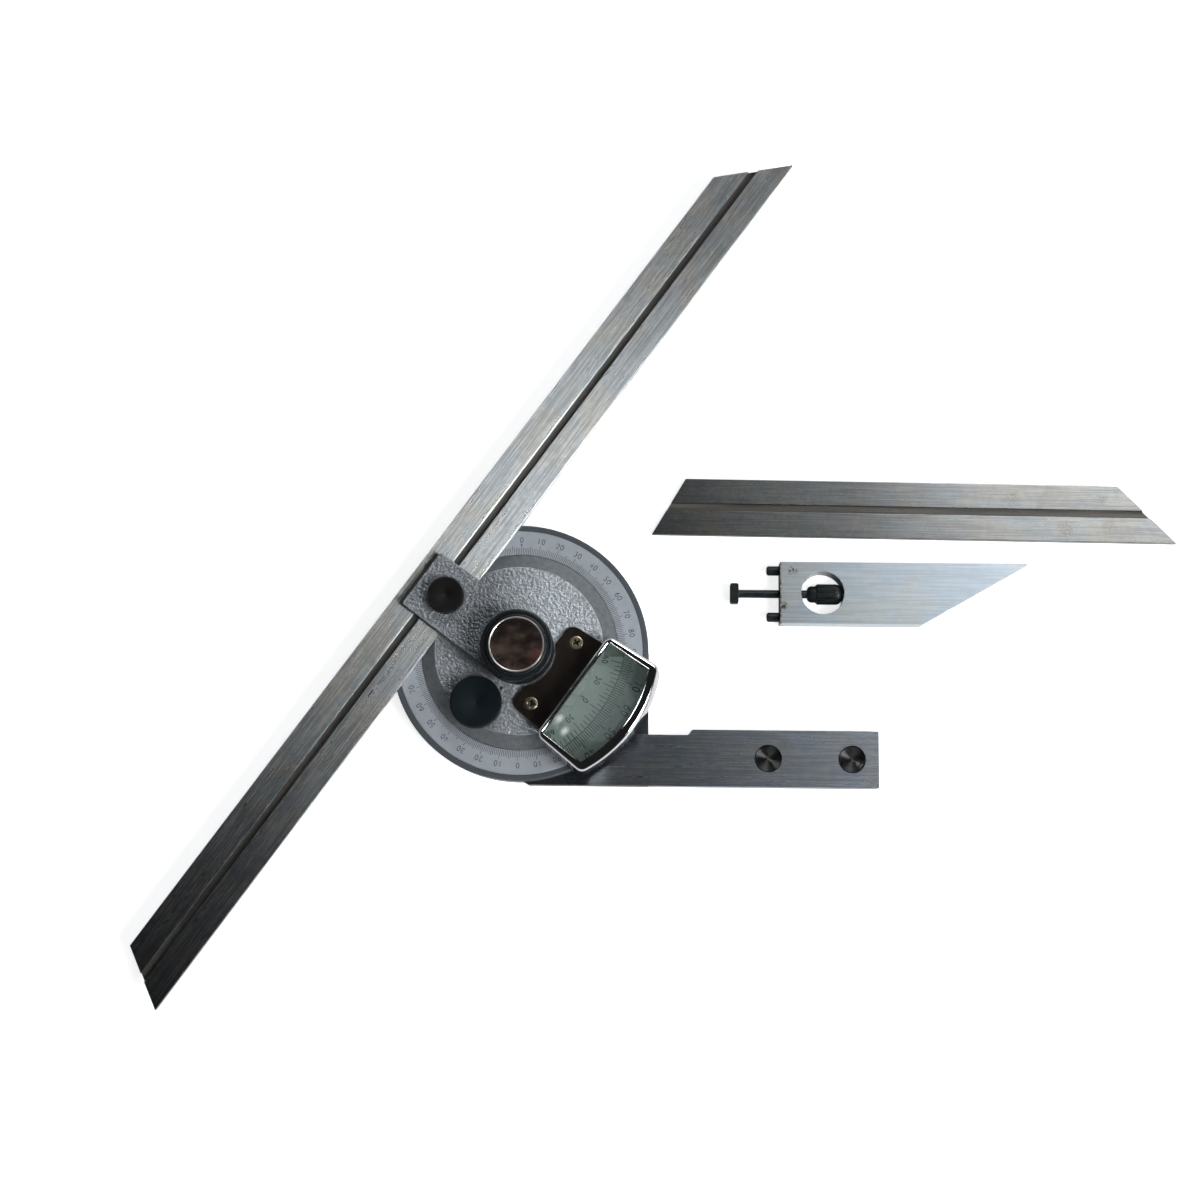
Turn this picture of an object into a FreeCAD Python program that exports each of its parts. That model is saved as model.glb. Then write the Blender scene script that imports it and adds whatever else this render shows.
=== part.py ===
import FreeCAD, Part
import math
import os
import re
import Sketcher

# Bevel protractor with its spare blade and its acute angle attachment, in millimetres.
# The origin is on the turning axis, in the plane of the flat back. +X runs along the stock
# to its free end, +Y is across it towards the dial, and +Z points out of the dial.

# Driving sizes. Heights are measured from the back, and radii from the turning axis.
SIZES = {
    # disc and stock, one steel piece
    "rim_radius": 36.3,
    "rim_top": 7.7,
    "rim_chamfer": 0.4,
    "floor_top": 3.0,
    "step_top": 5.7,
    "gear_seat_radius": 26.2,
    "back_recess_radius": 13.0,
    "back_recess_depth": 1.6,
    "stock_end": 100.7,
    "stock_bottom": 37.2,
    "stock_width": 15.8,
    "stock_top": 7.0,
    "neck_top": 6.7,
    "pad_start": 13.2,
    "pad_corner": 3.0,
    "flat_distance": 36.4,
    "relief_depth": 1.5,
    "relief_end": 47.5,
    "relief_slope": 1.2,
    "foot_start": 3.0,
    "foot_rise": 1.4,
    "foot_slope": 2.3,
    # turned discs in the stock
    "plug_radius": 3.86,
    "plug_thickness": 1.7,
    "plug_recess": 0.3,
    "plug_near": 69.9,
    "plug_pitch": 23.35,
    # seat of the acute angle attachment
    "seat_pitch": 13.4,
    "seat_centre": 13.0,
    "pin_hole_depth": 4.6,
    "slot_neck": 2.7,
    "slot_lip": 3.2,
    "slot_head": 6.3,
    "slot_depth": 2.9,
    "slot_roof": 6.4,
    # scale ring
    "ring_inner": 27.8,
    "ring_outer": 34.6,
    "ring_thickness": 1.2,
    "ring_top": 8.0,
    "ring_bevel": 0.2,
    # gears of the fine adjustment
    "gear_module": 0.6,
    "ring_teeth": 78,
    "pinion_teeth": 15,
    "gear_width": 2.4,
    "gear_play": 0.08,
    "addendum": 1.0,
    "dedendum": 1.25,
    "short_addendum": 0.4,
    "short_dedendum": 0.7,
    "pressure_angle": 20,
    # turret
    "blade_angle": 54.3,
    "turret_play": 0.1,
    "room_play": 0.3,
    "lower_radius": 22.6,
    "plateau_radius": 23.7,
    "plateau_top": 10.6,
    "vernier_inner": 22.5,
    "vernier_sweep": 52,
    "vernier_play": 0.1,
    "oil_hole_radius": 0.4,
    "oil_hole_x": 2.2,
    "oil_hole_y": 11.5,
    # spindle and centre knob
    "spindle_radius": 4.0,
    "thread_radius": 3.0,
    "spindle_flange_radius": 8.0,
    "spindle_flange": 0.8,
    "spindle_top": 20.2,
    "journal_play": 0.05,
    "thread_bevel": 0.5,
    "hub_radius": 9.7,
    "hub_top": 14.0,
    "washer_thickness": 0.4,
    "washer_radius": 7.0,
    "knob_radius": 10.0,
    "knob_shoulder": 22.7,
    "knob_chamfer": 0.5,
    "crown_radius": 8.4,
    "crown_top": 23.7,
    "crown_bevel": 0.3,
    "knob_headroom": 0.4,
    "cap_radius": 7.7,
    "cap_depth": 0.5,
    "cap_top": 24.3,
    "cap_bevel": 0.35,
    "cap_play": 0.02,
    # fine adjustment
    "fine_angle": 92.2,
    "fine_knob_radius": 7.22,
    "fine_knob_top": 15.0,
    "fine_shaft_radius": 2.0,
    "fine_bush_radius": 3.0,
    "knob_gap": 0.3,
    "fine_knob_bevel": 0.4,
    "shaft_seat": 1.0,
    # arm and blade clamp
    "arm_end": 34.2,
    "arm_end_half": 9.0,
    "arm_root_half": 9.4,
    "arm_top": 13.2,
    "arm_corner": 0.5,
    "clamp_distance": 25.3,
    "clamp_knob_radius": 5.12,
    "clamp_knob_top": 17.0,
    "clamp_knob_bevel": 0.3,
    "clamp_washer": 0.3,
    "clamp_washer_radius": 4.1,
    "clamp_shaft_radius": 2.0,
    "clamp_bush_radius": 3.0,
    "clamp_web": 1.4,
    "eccentric_radius": 4.9,
    "eccentric_pin_radius": 0.85,
    "arm_screw_distance": 15.0,
    "arm_screw_spread": 5.5,
    "arm_screw_bite": 1.6,
    "arm_thread_depth": 1.8,
    "screw_radius": 1.0,
    "cover_rim": 0.4,
    "cover_screw_bite": 0.9,
    "cover_thread_depth": 1.0,
    "cover_head_radius": 1.8,
    "cover_screw_start": 30,
    "screw_head_radius": 1.9,
    "screw_head_height": 1.5,
    # blades
    "blade_width": 16.5,
    "blade_thickness": 2.0,
    "blade_length": 300.0,
    "blade_bottom": 8.3,
    "blade_seat": 21.05,
    "blade_foot": 138.2,
    "blade_play": 0.08,
    "groove_width": 2.1,
    "groove_depth": 1.0,
    "sharp_end": 60,
    "blunt_end": 45,
    "short_length": 150.0,
    "short_x": 37.0,
    "short_y": 35.2,
    "short_turn": 0.6,
    # magnifier, which sits a little to one side of the turret's own X axis
    "magnifier_side": 0.55,
    "bracket_thickness": 1.2,
    "bracket_inner": 7.2,
    "bracket_outer": 20.4,
    "bracket_inner_half": 14.0,
    "bracket_outer_half": 15.0,
    "bracket_corner": 2.8,
    "bracket_cusp": 1.0,
    "bracket_arc": 10.2,
    "bracket_screw_distance": 11.7,
    "bracket_screw_spread": 10.6,
    "bracket_head_radius": 1.9,
    "bracket_web": 0.2,
    "bracket_screw_bite": 2.8,
    "bracket_thread_depth": 3.0,
    "hood_inner": 18.4,
    "hood_radius": 39.2,
    "hood_inner_half": 17.0,
    "hood_outer_half": 18.1,
    "hood_bottom": 8.5,
    "hood_top": 19.0,
    "hood_wall": 1.0,
    "hood_corner": 2.4,
    "hood_edge": 1.1,
    # width of the hood's rim: straight side, arc, and the two ends of the other sides
    "rim_height": 1.2,
    "rim_straight": 1.25,
    "rim_arc": 2.7,
    "rim_narrow": 1.55,
    "rim_wide": 2.3,
    "hood_flare": 3,
    "lens_edge": 1.8,
    "lens_curve": 44.0,
    "lens_sunk": 0.5,
    "lens_blank": 9.0,
    "lens_play": 0.03,
    # acute angle attachment
    "plate_x": 73.45,
    "plate_y": 26.6,
    "plate_length": 70.3,
    "plate_width": 17.6,
    "plate_thickness": 6.6,
    "plate_point": 30,
    "window_radius": 6.1,
    "window_distance": 12.05,
    "pin_radius": 1.35,
    "pin_reach": 3.7,
    "pin_bury": 4.0,
    "pin_bevel": 0.4,
    "bolt_radius": 1.15,
    "bolt_head_start": 14.05,
    "bolt_head_length": 2.4,
    "bolt_head_width": 5.8,
    "bolt_head_height": 3.0,
    "bolt_corner": 0.5,
    "bolt_bury": 13.0,
    "nut_start": 7.9,
    "nut_collar": 2.4,
    "nut_collar_radius": 2.35,
    "nut_lead": 0.9,
    "nut_lead_depth": 0.7,
    "nut_wall": 1.4,
    "nut_radius": 3.0,
    "nut_length": 9.9,
    "nut_round": 1.3,
    "nut_cheek": 0.5,
    "small_play": 0.1,
    # how far a cut runs past the face that it starts from
    "overrun": 1.0,
}

# Values worked out from the driving sizes, written as expressions of them.
DERIVED = {
    "turret_turn": "(blade_angle - 90)",
    "gear_distance": "((ring_teeth - pinion_teeth) * gear_module / 2)",
    "gear_bottom": "(floor_top + turret_play)",
    "gear_top": "(floor_top + gear_width)",
    "flange_radius": "(ring_inner - turret_play)",
    "flange_bottom": "(step_top + turret_play)",
    "vernier_bottom": "(ring_top - ring_thickness)",
    "bore_radius": "(spindle_radius + journal_play)",
    "washer_top": "(hub_top + washer_thickness)",
    "blade_top": "(blade_bottom + blade_thickness)",
    "groove_offset": "(blade_seat + blade_width / 2)",
    "eccentric_throw": "(blade_seat + blade_width / 2 - clamp_distance)",
    "clamp_ledge": "(arm_top - clamp_web)",
    "stock_upper": "(stock_width - stock_bottom)",
    "bracket_top": "(plateau_top + bracket_thickness)",
    "lens_seat": "(hood_top - rim_height)",
    "pane_inner": "(hood_inner + rim_straight)",
    "pane_inner_half": "(hood_inner_half - rim_narrow)",
    "pane_outer_half": "(hood_outer_half - rim_wide)",
    "pane_radius": "(hood_radius - rim_arc)",
    "lens_middle": "((pane_inner + pane_radius) / 2)",
    "lens_broad": "((pane_radius - pane_inner) / 2)",
    "lens_drop": "sqrt(lens_curve^2 - pane_outer_half^2 - lens_broad^2)",
    "axis_height": "(plate_thickness / 2)",
    "cover_thickness": "(back_recess_depth - spindle_flange)",
}

doc = FreeCAD.newDocument("BevelProtractor")
sheet = doc.addObject("Spreadsheet::Sheet", "Sizes")
for row, (name, number) in enumerate(SIZES.items(), start=1):
    sheet.set("A%d" % row, name)
    sheet.set("B%d" % row, str(number))
    sheet.setAlias("B%d" % row, name)
doc.recompute()

COVER_SCREWS = 3
BRACKET_SCREWS = ("magnifier_side + bracket_screw_spread", "magnifier_side - bracket_screw_spread")
ORIGIN = FreeCAD.Vector(0, 0, 0)
UP = FreeCAD.Vector(0, 0, 1)
nodes = []


def size(name):
    """Read a driving size from the sheet."""
    return float(sheet.get(name))


def bound(expression):
    """Return a size expression with each size's name pointing at its cell."""
    def cell(match):
        word = match.group()
        if word in DERIVED:
            return bound(DERIVED[word])
        return "Sizes." + word if word in SIZES else word
    return re.sub(r"[A-Za-z_]\w*", cell, str(expression))


def bind(thing, **expressions):
    """Tie properties of an object to size expressions."""
    for name, expression in expressions.items():
        thing.setExpression(name, bound(expression))


def place(thing, x="0", y="0", z="0", turn="0"):
    """Put an object at a place given by size expressions, turned about the vertical."""
    thing.Placement = FreeCAD.Placement(ORIGIN, FreeCAD.Rotation(UP, 10))
    for path, expression in (("Base.x", x), ("Base.y", y), ("Base.z", z), ("Rotation.Angle", turn)):
        thing.setExpression("Placement." + path, bound(expression))


def keep(thing, label):
    """Give a finished sub-part its name and put it on the list of nodes."""
    thing.Label = label
    nodes.append(thing)
    return thing


def new_body(label):
    return keep(doc.addObject("PartDesign::Body", "Body_" + label), label)


def new_sketch(body, name, role="XY_Plane", height="0"):
    """Start a sketch on one of the body's own origin planes, moved along its normal."""
    sketch = body.newObject("Sketcher::SketchObject", body.Label + "_" + name)
    plane = [feature for feature in body.Origin.OriginFeatures if feature.Role == role][0]
    sketch.AttachmentSupport = (plane, [""])
    sketch.MapMode = "FlatFace"
    sketch.setExpression("AttachmentOffset.Base.z", bound(height))
    return sketch


def number_of(expression):
    """Work out a size expression, to start a sketch near its final shape."""
    probe.setExpression("Value", bound(expression))
    probe.recompute()
    return float(probe.Value)


def polygon(sketch, points):
    """Draw a closed outline of straight lines through points given by expressions."""
    start = sketch.GeometryCount
    rough = [FreeCAD.Vector(number_of(x), number_of(y), 0) for x, y in points]
    count = len(points)
    for i in range(count):
        sketch.addGeometry(Part.LineSegment(rough[i], rough[(i + 1) % count]), False)
    for i in range(count):
        following = start + (i + 1) % count
        sketch.addConstraint(Sketcher.Constraint("Coincident", start + i, 2, following, 1))
    for i, (x, y) in enumerate(points):
        number = sketch.addConstraint(
            Sketcher.Constraint("DistanceX", -1, 1, start + i, 1, rough[i].x))
        sketch.setExpression("Constraints[%d]" % number, bound(x))
        number = sketch.addConstraint(
            Sketcher.Constraint("DistanceY", -1, 1, start + i, 1, rough[i].y))
        sketch.setExpression("Constraints[%d]" % number, bound(y))


def circle(sketch, x, y, radius):
    """Draw a circle whose centre and radius are given by expressions."""
    centre = FreeCAD.Vector(number_of(x), number_of(y), 0)
    index = sketch.addGeometry(Part.Circle(centre, UP, number_of(radius)), False)
    for kind, value, expression in (("DistanceX", centre.x, x), ("DistanceY", centre.y, y)):
        number = sketch.addConstraint(Sketcher.Constraint(kind, -1, 1, index, 3, value))
        sketch.setExpression("Constraints[%d]" % number, bound(expression))
    number = sketch.addConstraint(Sketcher.Constraint("Radius", index, number_of(radius)))
    sketch.setExpression("Constraints[%d]" % number, bound(radius))


def fan(sketch, inner, inner_half, outer_half, radius):
    """Draw the outline of the magnifier: a straight inner side, two sides that open
    outwards and an outer side that is an arc. All of it is moved over by magnifier_side."""
    x0, y0, y1 = number_of(inner), number_of(inner_half), number_of(outer_half)
    reach, over = number_of(radius), size("magnifier_side")
    x1 = math.sqrt(reach ** 2 - y1 ** 2)
    corners = [(x1, -y1), (x0, -y0), (x0, y0), (x1, y1)]
    corners = [FreeCAD.Vector(x, y + over, 0) for x, y in corners]
    for i in range(3):
        sketch.addGeometry(Part.LineSegment(corners[i], corners[i + 1]), False)
    swing = math.atan2(y1, x1)
    centre = FreeCAD.Vector(0, over, 0)
    arc = Part.ArcOfCircle(Part.Circle(centre, UP, reach), -swing, swing)
    sketch.addGeometry(arc, False)
    for first, second in (((0, 2), (1, 1)), ((1, 2), (2, 1)), ((2, 2), (3, 2)), ((3, 1), (0, 1))):
        sketch.addConstraint(Sketcher.Constraint("Coincident", *first, *second))
    low, high = "magnifier_side - (%s)", "magnifier_side + %s"
    for kind, index, end, value, expression in (
            ("DistanceX", 3, 3, 0, "0"), ("DistanceY", 3, 3, over, "magnifier_side"),
            ("DistanceX", 1, 1, x0, inner), ("DistanceY", 1, 1, over - y0, low % inner_half),
            ("DistanceX", 2, 1, x0, inner), ("DistanceY", 2, 1, over + y0, high % inner_half),
            ("DistanceY", 0, 1, over - y1, low % outer_half),
            ("DistanceY", 3, 2, over + y1, high % outer_half)):
        number = sketch.addConstraint(Sketcher.Constraint(kind, -1, 1, index, end, value))
        sketch.setExpression("Constraints[%d]" % number, bound(expression))
    number = sketch.addConstraint(Sketcher.Constraint("Radius", 3, reach))
    sketch.setExpression("Constraints[%d]" % number, bound(radius))


def pad(body, sketch, height):
    """Raise a sketch along its normal."""
    feature = body.newObject("PartDesign::Pad", sketch.Name + "_pad")
    feature.Profile = sketch
    bind(feature, Length=height)
    doc.recompute()
    return feature


def pocket(body, sketch, depth=None, upwards=False):
    """Cut a sketch down from its plane, or up, to a depth or all the way."""
    before = body.Shape.Volume
    feature = body.newObject("PartDesign::Pocket", sketch.Name + "_pocket")
    feature.Profile = sketch
    feature.Reversed = upwards
    if depth is None:
        feature.Type = "ThroughAll"
    else:
        bind(feature, Length=depth)
    doc.recompute()
    if body.Shape.Volume > before - 1e-6:
        raise ValueError("the pocket cuts nothing: " + sketch.Name)
    return feature


def turn_profile(body, name, points, kind="Revolution", sweep="360"):
    """Turn a profile of (radius, height) points about the vertical axis."""
    sketch = new_sketch(body, name, "XZ_Plane")
    polygon(sketch, points)
    feature = body.newObject("PartDesign::" + kind, sketch.Name + "_turned")
    feature.Profile = sketch
    feature.ReferenceAxis = (sketch, ["V_Axis"])
    feature.Midplane = True
    bind(feature, Angle=sweep)
    doc.recompute()
    return feature


def turned(label, points):
    """Make a piece that comes off the lathe, from its half section."""
    body = new_body(label)
    turn_profile(body, "section", points)
    return body


def soften(body, kind, size, chosen):
    """Fillet or chamfer the edges of the body that a test picks."""
    base = body.Tip
    names = ["Edge%d" % (i + 1) for i, edge in enumerate(base.Shape.Edges) if chosen(edge)]
    if not names:
        raise ValueError("no edge was picked: " + body.Label)
    feature = body.newObject("PartDesign::" + kind, "%s_%s" % (body.Label, kind))
    feature.Base = (base, names)
    bind(feature, **{"Radius" if kind == "Fillet" else "Size": size})
    doc.recompute()
    return feature


def upright(edge):
    """Test for a straight upright edge."""
    return len(edge.Vertexes) == 2 and abs(edge.tangentAt(edge.FirstParameter).z) > 0.99


def upright_at(x, y, over=0.0, reach=0.05):
    """Test for an upright edge at x and at y on either side of a line y = over."""
    def test(edge):
        spot = edge.Vertexes[0].Point
        return upright(edge) and math.hypot(spot.x - x, abs(spot.y - over) - y) < reach
    return test


def cylinder(name, radius, height, **where):
    thing = doc.addObject("Part::Cylinder", name)
    bind(thing, Radius=radius, Height=height)
    place(thing, **where)
    return thing


def cone(name, lower, upper, height, **where):
    thing = doc.addObject("Part::Cone", name)
    bind(thing, Radius1=lower, Radius2=upper, Height=height)
    place(thing, **where)
    return thing


def fuse(name, *shapes):
    thing = doc.addObject("Part::MultiFuse", name)
    thing.Shapes = list(shapes)
    return thing


def group(label, members, turn="0"):
    """Put alike pieces into one node, each a solid of its own."""
    thing = doc.addObject("Part::Compound", "Group_" + label)
    thing.Links = members
    place(thing, turn=turn)
    return keep(thing, label)


# A helper object whose only use is to work out expressions.
probe = doc.addObject("App::FeaturePython", "Probe")
probe.addProperty("App::PropertyFloat", "Value")


def make_stock_body():
    """Disc and stock: one steel piece with the cup for the turret and its gear."""
    body = new_body("stock_body")
    sketch = new_sketch(body, "neck")
    polygon(sketch, [
        ("0", "0"),
        ("foot_start - foot_slope", "foot_rise - stock_bottom"),
        ("foot_start", "-stock_bottom"),
        ("stock_end", "-stock_bottom"),
        ("stock_end", "stock_upper"),
        ("relief_end + relief_slope", "stock_upper"),
        ("relief_end", "stock_upper - relief_depth"),
        ("flat_distance", "stock_upper - relief_depth"),
        ("flat_distance", "0")])
    pad(body, sketch, "neck_top")
    sketch = new_sketch(body, "pad", height="neck_top")
    polygon(sketch, [
        ("pad_start", "-stock_bottom"),
        ("stock_end", "-stock_bottom"),
        ("stock_end", "stock_upper"),
        ("relief_end + relief_slope", "stock_upper"),
        ("relief_end", "stock_upper - relief_depth"),
        ("flat_distance", "stock_upper - relief_depth"),
        ("pad_start", "stock_upper - relief_depth")])
    pad(body, sketch, "stock_top - neck_top")
    corner = (size("pad_start"), size("stock_bottom"))
    soften(body, "Fillet", "pad_corner", lambda edge: upright_at(*corner)(edge)
           and edge.BoundBox.ZMin > size("neck_top") - 0.01)
    turn_profile(body, "disc", [
        ("0", "0"), ("rim_radius", "0"), ("rim_radius", "rim_top - rim_chamfer"),
        ("rim_radius - rim_chamfer", "rim_top"), ("0", "rim_top")])
    turn_profile(body, "cup", [
        ("0", "floor_top"), ("gear_seat_radius", "floor_top"), ("gear_seat_radius", "step_top"),
        ("ring_inner", "step_top"), ("ring_inner", "vernier_bottom"),
        ("ring_outer", "vernier_bottom"), ("ring_outer", "rim_top + overrun"), ("0", "rim_top + overrun")],
        kind="Groove")
    turn_profile(body, "back", [
        ("0", "-overrun"), ("back_recess_radius", "-overrun"), ("back_recess_radius", "back_recess_depth"),
        ("spindle_radius", "back_recess_depth"), ("spindle_radius", "floor_top + overrun"),
        ("0", "floor_top + overrun")], kind="Groove")
    sketch = new_sketch(body, "plug_seats", height="stock_top")
    for step in ("0", "plug_pitch"):
        circle(sketch, "plug_near + " + step, "stock_width / 2 - stock_bottom", "plug_radius")
    pocket(body, sketch, "plug_thickness + plug_recess")
    sketch = new_sketch(body, "slot")
    for half, near, far in (("slot_neck / 2", "-overrun", "slot_lip"),
                            ("slot_head / 2", "slot_lip", "slot_lip + slot_depth")):
        polygon(sketch, [
            ("flat_distance - (%s)" % x, "-seat_centre + (%s) * (%s)" % (side, half))
            for x, side in ((near, "1"), (far, "1"), (far, "-1"), (near, "-1"))])
    pocket(body, sketch, "slot_roof", upwards=True)
    sketch = new_sketch(body, "pin_holes", "YZ_Plane", "flat_distance")
    for side in ("0.5", "-0.5"):
        circle(sketch, "-seat_centre + %s * seat_pitch" % side, "axis_height",
               "pin_radius + journal_play")
    pocket(body, sketch, "pin_hole_depth")
    sketch = new_sketch(body, "cover_threads", height="back_recess_depth")
    for step in range(COVER_SCREWS):
        angle = "(%d + cover_screw_start) * 1deg" % (step * 360 / COVER_SCREWS)
        reach = "(spindle_flange_radius + back_recess_radius) / 2"
        circle(sketch, "%s * cos(%s)" % (reach, angle), "%s * sin(%s)" % (reach, angle),
               "screw_radius")
    pocket(body, sketch, "cover_thread_depth", upwards=True)
    return body


def involute(angle):
    return math.tan(angle) - angle


def tooth_flank(teeth, radii, extra):
    """Half the angle that a tooth takes up at each radius, with play added."""
    pitch_radius = size("gear_module") * teeth / 2
    pressure = math.radians(size("pressure_angle"))
    base = pitch_radius * math.cos(pressure)
    half = math.pi / (2 * teeth) + involute(pressure) + extra / (2 * pitch_radius)
    return [half - involute(math.acos(min(1.0, base / radius))) for radius in radii]


def toothed_face(teeth, root, tip, extra, steps=3):
    """A flat face bounded by teeth from a root radius to a tip radius."""
    radii = [root + (tip - root) * i / steps for i in range(steps + 1)]
    halves = tooth_flank(teeth, radii, extra)
    points = []
    for tooth in range(teeth):
        middle = 2 * math.pi * tooth / teeth
        for radius, half in zip(radii, halves):
            points.append((radius, middle - half))
        for radius, half in zip(reversed(radii), reversed(halves)):
            points.append((radius, middle + half))
    corners = [FreeCAD.Vector(r * math.cos(a), r * math.sin(a), 0) for r, a in points]
    return Part.Face(Part.makePolygon(corners + corners[:1]))


def make_ring_gear():
    """Internal gear: a plain ring less the shape of an outside gear that is a little larger."""
    module, teeth = size("gear_module"), int(size("ring_teeth"))
    pitch_radius = module * teeth / 2
    tip = pitch_radius - size("short_addendum") * module
    root = pitch_radius + size("dedendum") * module
    width = size("gear_width")
    blank = Part.makeCylinder(size("gear_seat_radius"), width)
    spaces = toothed_face(teeth, tip, root, size("gear_play")).extrude(FreeCAD.Vector(0, 0, width))
    gear = doc.addObject("Part::Feature", "RingGear")
    gear.Shape = blank.cut(spaces)
    place(gear, z="floor_top")
    return keep(gear, "ring_gear")


def make_fine_pinion():
    """Pinion and its shaft, one piece, which runs in the bush of the turret."""
    module, teeth = size("gear_module"), int(size("pinion_teeth"))
    pitch_radius = module * teeth / 2
    tip = pitch_radius + size("addendum") * module
    root = pitch_radius - size("short_dedendum") * module
    width = size("gear_width") - 2 * size("turret_play")
    up = FreeCAD.Vector(0, 0, width)
    teeth_solid = toothed_face(teeth, root, tip, -size("gear_play")).extrude(up)
    shaft_top = size("fine_knob_top") - size("shaft_seat") - size("floor_top") - size("turret_play")
    shaft = Part.makeCylinder(size("fine_shaft_radius"), shaft_top)
    pinion = doc.addObject("Part::Feature", "FinePinion")
    pinion.Shape = teeth_solid.fuse(shaft).removeSplitter()
    return keep(pinion, "fine_pinion")


def fine_place(thing, z="0", turn="turret_turn"):
    """Put a piece on the axis of the fine adjustment."""
    angle = "(turret_turn - fine_angle) * 1deg"
    place(thing, x="gear_distance * cos(%s)" % angle, y="gear_distance * sin(%s)" % angle,
          z=z, turn=turn)


def clamp_place(thing, z="0"):
    """Put a piece on the axis of the blade clamp."""
    angle = "(turret_turn + 180) * 1deg"
    place(thing, x="clamp_distance * cos(%s)" % angle, y="clamp_distance * sin(%s)" % angle,
          z=z, turn="turret_turn")


def make_turret():
    """Turret with bevel, blade seat, vernier recess and the bores of the fine adjustment.
    In its own frame the magnifier is on +X, the arm on -X and the blade runs along +Y."""
    body = new_body("turret_plate")
    turn_profile(body, "section", [
        ("bore_radius", "gear_bottom"), ("lower_radius", "gear_bottom"),
        ("lower_radius", "flange_bottom"), ("flange_radius", "flange_bottom"),
        ("flange_radius", "ring_top"), ("plateau_radius", "plateau_top"),
        ("bore_radius", "plateau_top")])
    sketch = new_sketch(body, "blade_seat", height="plateau_top + overrun")
    edge = "blade_play - blade_seat"
    polygon(sketch, [(edge, "-ring_outer"), (edge, "ring_outer"),
                     ("-ring_outer", "ring_outer"), ("-ring_outer", "-ring_outer")])
    pocket(body, sketch, "plateau_top + overrun - blade_bottom + blade_play")
    turn_profile(body, "vernier_seat", [
        ("vernier_inner", "vernier_bottom"), ("ring_outer", "vernier_bottom"),
        ("ring_outer", "plateau_top + overrun"), ("vernier_inner", "plateau_top + overrun")],
        kind="Groove", sweep="vernier_sweep")
    fine_x = "gear_distance * cos(fine_angle * 1deg)"
    fine_y = "-gear_distance * sin(fine_angle * 1deg)"
    sketch = new_sketch(body, "bush_bore")
    circle(sketch, fine_x, fine_y, "fine_bush_radius")
    pocket(body, sketch, upwards=True)
    sketch = new_sketch(body, "pinion_room")
    circle(sketch, fine_x, fine_y, "(pinion_teeth / 2 + addendum) * gear_module + room_play")
    pocket(body, sketch, "gear_top + turret_play", upwards=True)
    sketch = new_sketch(body, "oil_hole", height="plateau_top")
    circle(sketch, "oil_hole_x", "-oil_hole_y", "oil_hole_radius")
    pocket(body, sketch, "plateau_top - flange_bottom")
    sketch = new_sketch(body, "arm_screw_bores")
    for side in ("1", "-1"):
        circle(sketch, "-arm_screw_distance", side + " * arm_screw_spread", "screw_radius")
    pocket(body, sketch, upwards=True)
    sketch = new_sketch(body, "arm_screw_heads")
    for side in ("1", "-1"):
        circle(sketch, "-arm_screw_distance", side + " * arm_screw_spread", "screw_head_radius")
    pocket(body, sketch, "gear_bottom + screw_head_height + turret_play", upwards=True)
    sketch = new_sketch(body, "bracket_threads", height="plateau_top")
    for level in BRACKET_SCREWS:
        circle(sketch, "bracket_screw_distance", level, "screw_radius")
    pocket(body, sketch, "bracket_thread_depth")
    place(body, turn="turret_turn")
    return body


def make_arm():
    """Arm that reaches from the hub over the blade, with the seat of the blade clamp."""
    body = new_body("clamp_arm")
    sketch = new_sketch(body, "bar", height="plateau_top")
    polygon(sketch, [("-arm_end", "-arm_end_half"), ("0", "-arm_root_half"),
                     ("0", "arm_root_half"), ("-arm_end", "arm_end_half")])
    pad(body, sketch, "arm_top - plateau_top")
    soften(body, "Chamfer", "arm_corner", upright_at(-size("arm_end"), size("arm_end_half")))
    sketch = new_sketch(body, "hub", height="plateau_top")
    circle(sketch, "0", "0", "hub_radius")
    pad(body, sketch, "hub_top - plateau_top")
    sketch = new_sketch(body, "bore", height="hub_top")
    circle(sketch, "0", "0", "bore_radius")
    pocket(body, sketch)
    sketch = new_sketch(body, "eccentric_room", height="plateau_top")
    circle(sketch, "-clamp_distance", "0", "eccentric_radius + small_play")
    pocket(body, sketch, "clamp_ledge - plateau_top", upwards=True)
    sketch = new_sketch(body, "clamp_bore", height="arm_top")
    circle(sketch, "-clamp_distance", "0", "clamp_bush_radius")
    pocket(body, sketch)
    sketch = new_sketch(body, "screw_threads", height="plateau_top")
    for side in ("1", "-1"):
        circle(sketch, "-arm_screw_distance", side + " * arm_screw_spread", "screw_radius")
    pocket(body, sketch, "arm_thread_depth", upwards=True)
    place(body, turn="turret_turn")
    return body


def make_blade(label, length, **where):
    """A blade with a ground point at each end and a groove along the middle."""
    body = new_body(label)
    sketch = new_sketch(body, "outline")
    polygon(sketch, [("0", "0"), (length, "0"),
                     ("%s - blade_width / tan(blunt_end * 1deg)" % length, "blade_width"),
                     ("blade_width / tan(sharp_end * 1deg)", "blade_width")])
    pad(body, sketch, "blade_thickness")
    sketch = new_sketch(body, "groove", height="blade_thickness")
    low, high = "(blade_width - groove_width) / 2", "(blade_width + groove_width) / 2"
    far = "overrun + " + length
    polygon(sketch, [("-overrun", low), (far, low), (far, high), ("-overrun", high)])
    pocket(body, sketch, "groove_depth")
    place(body, **where)
    return body


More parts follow.
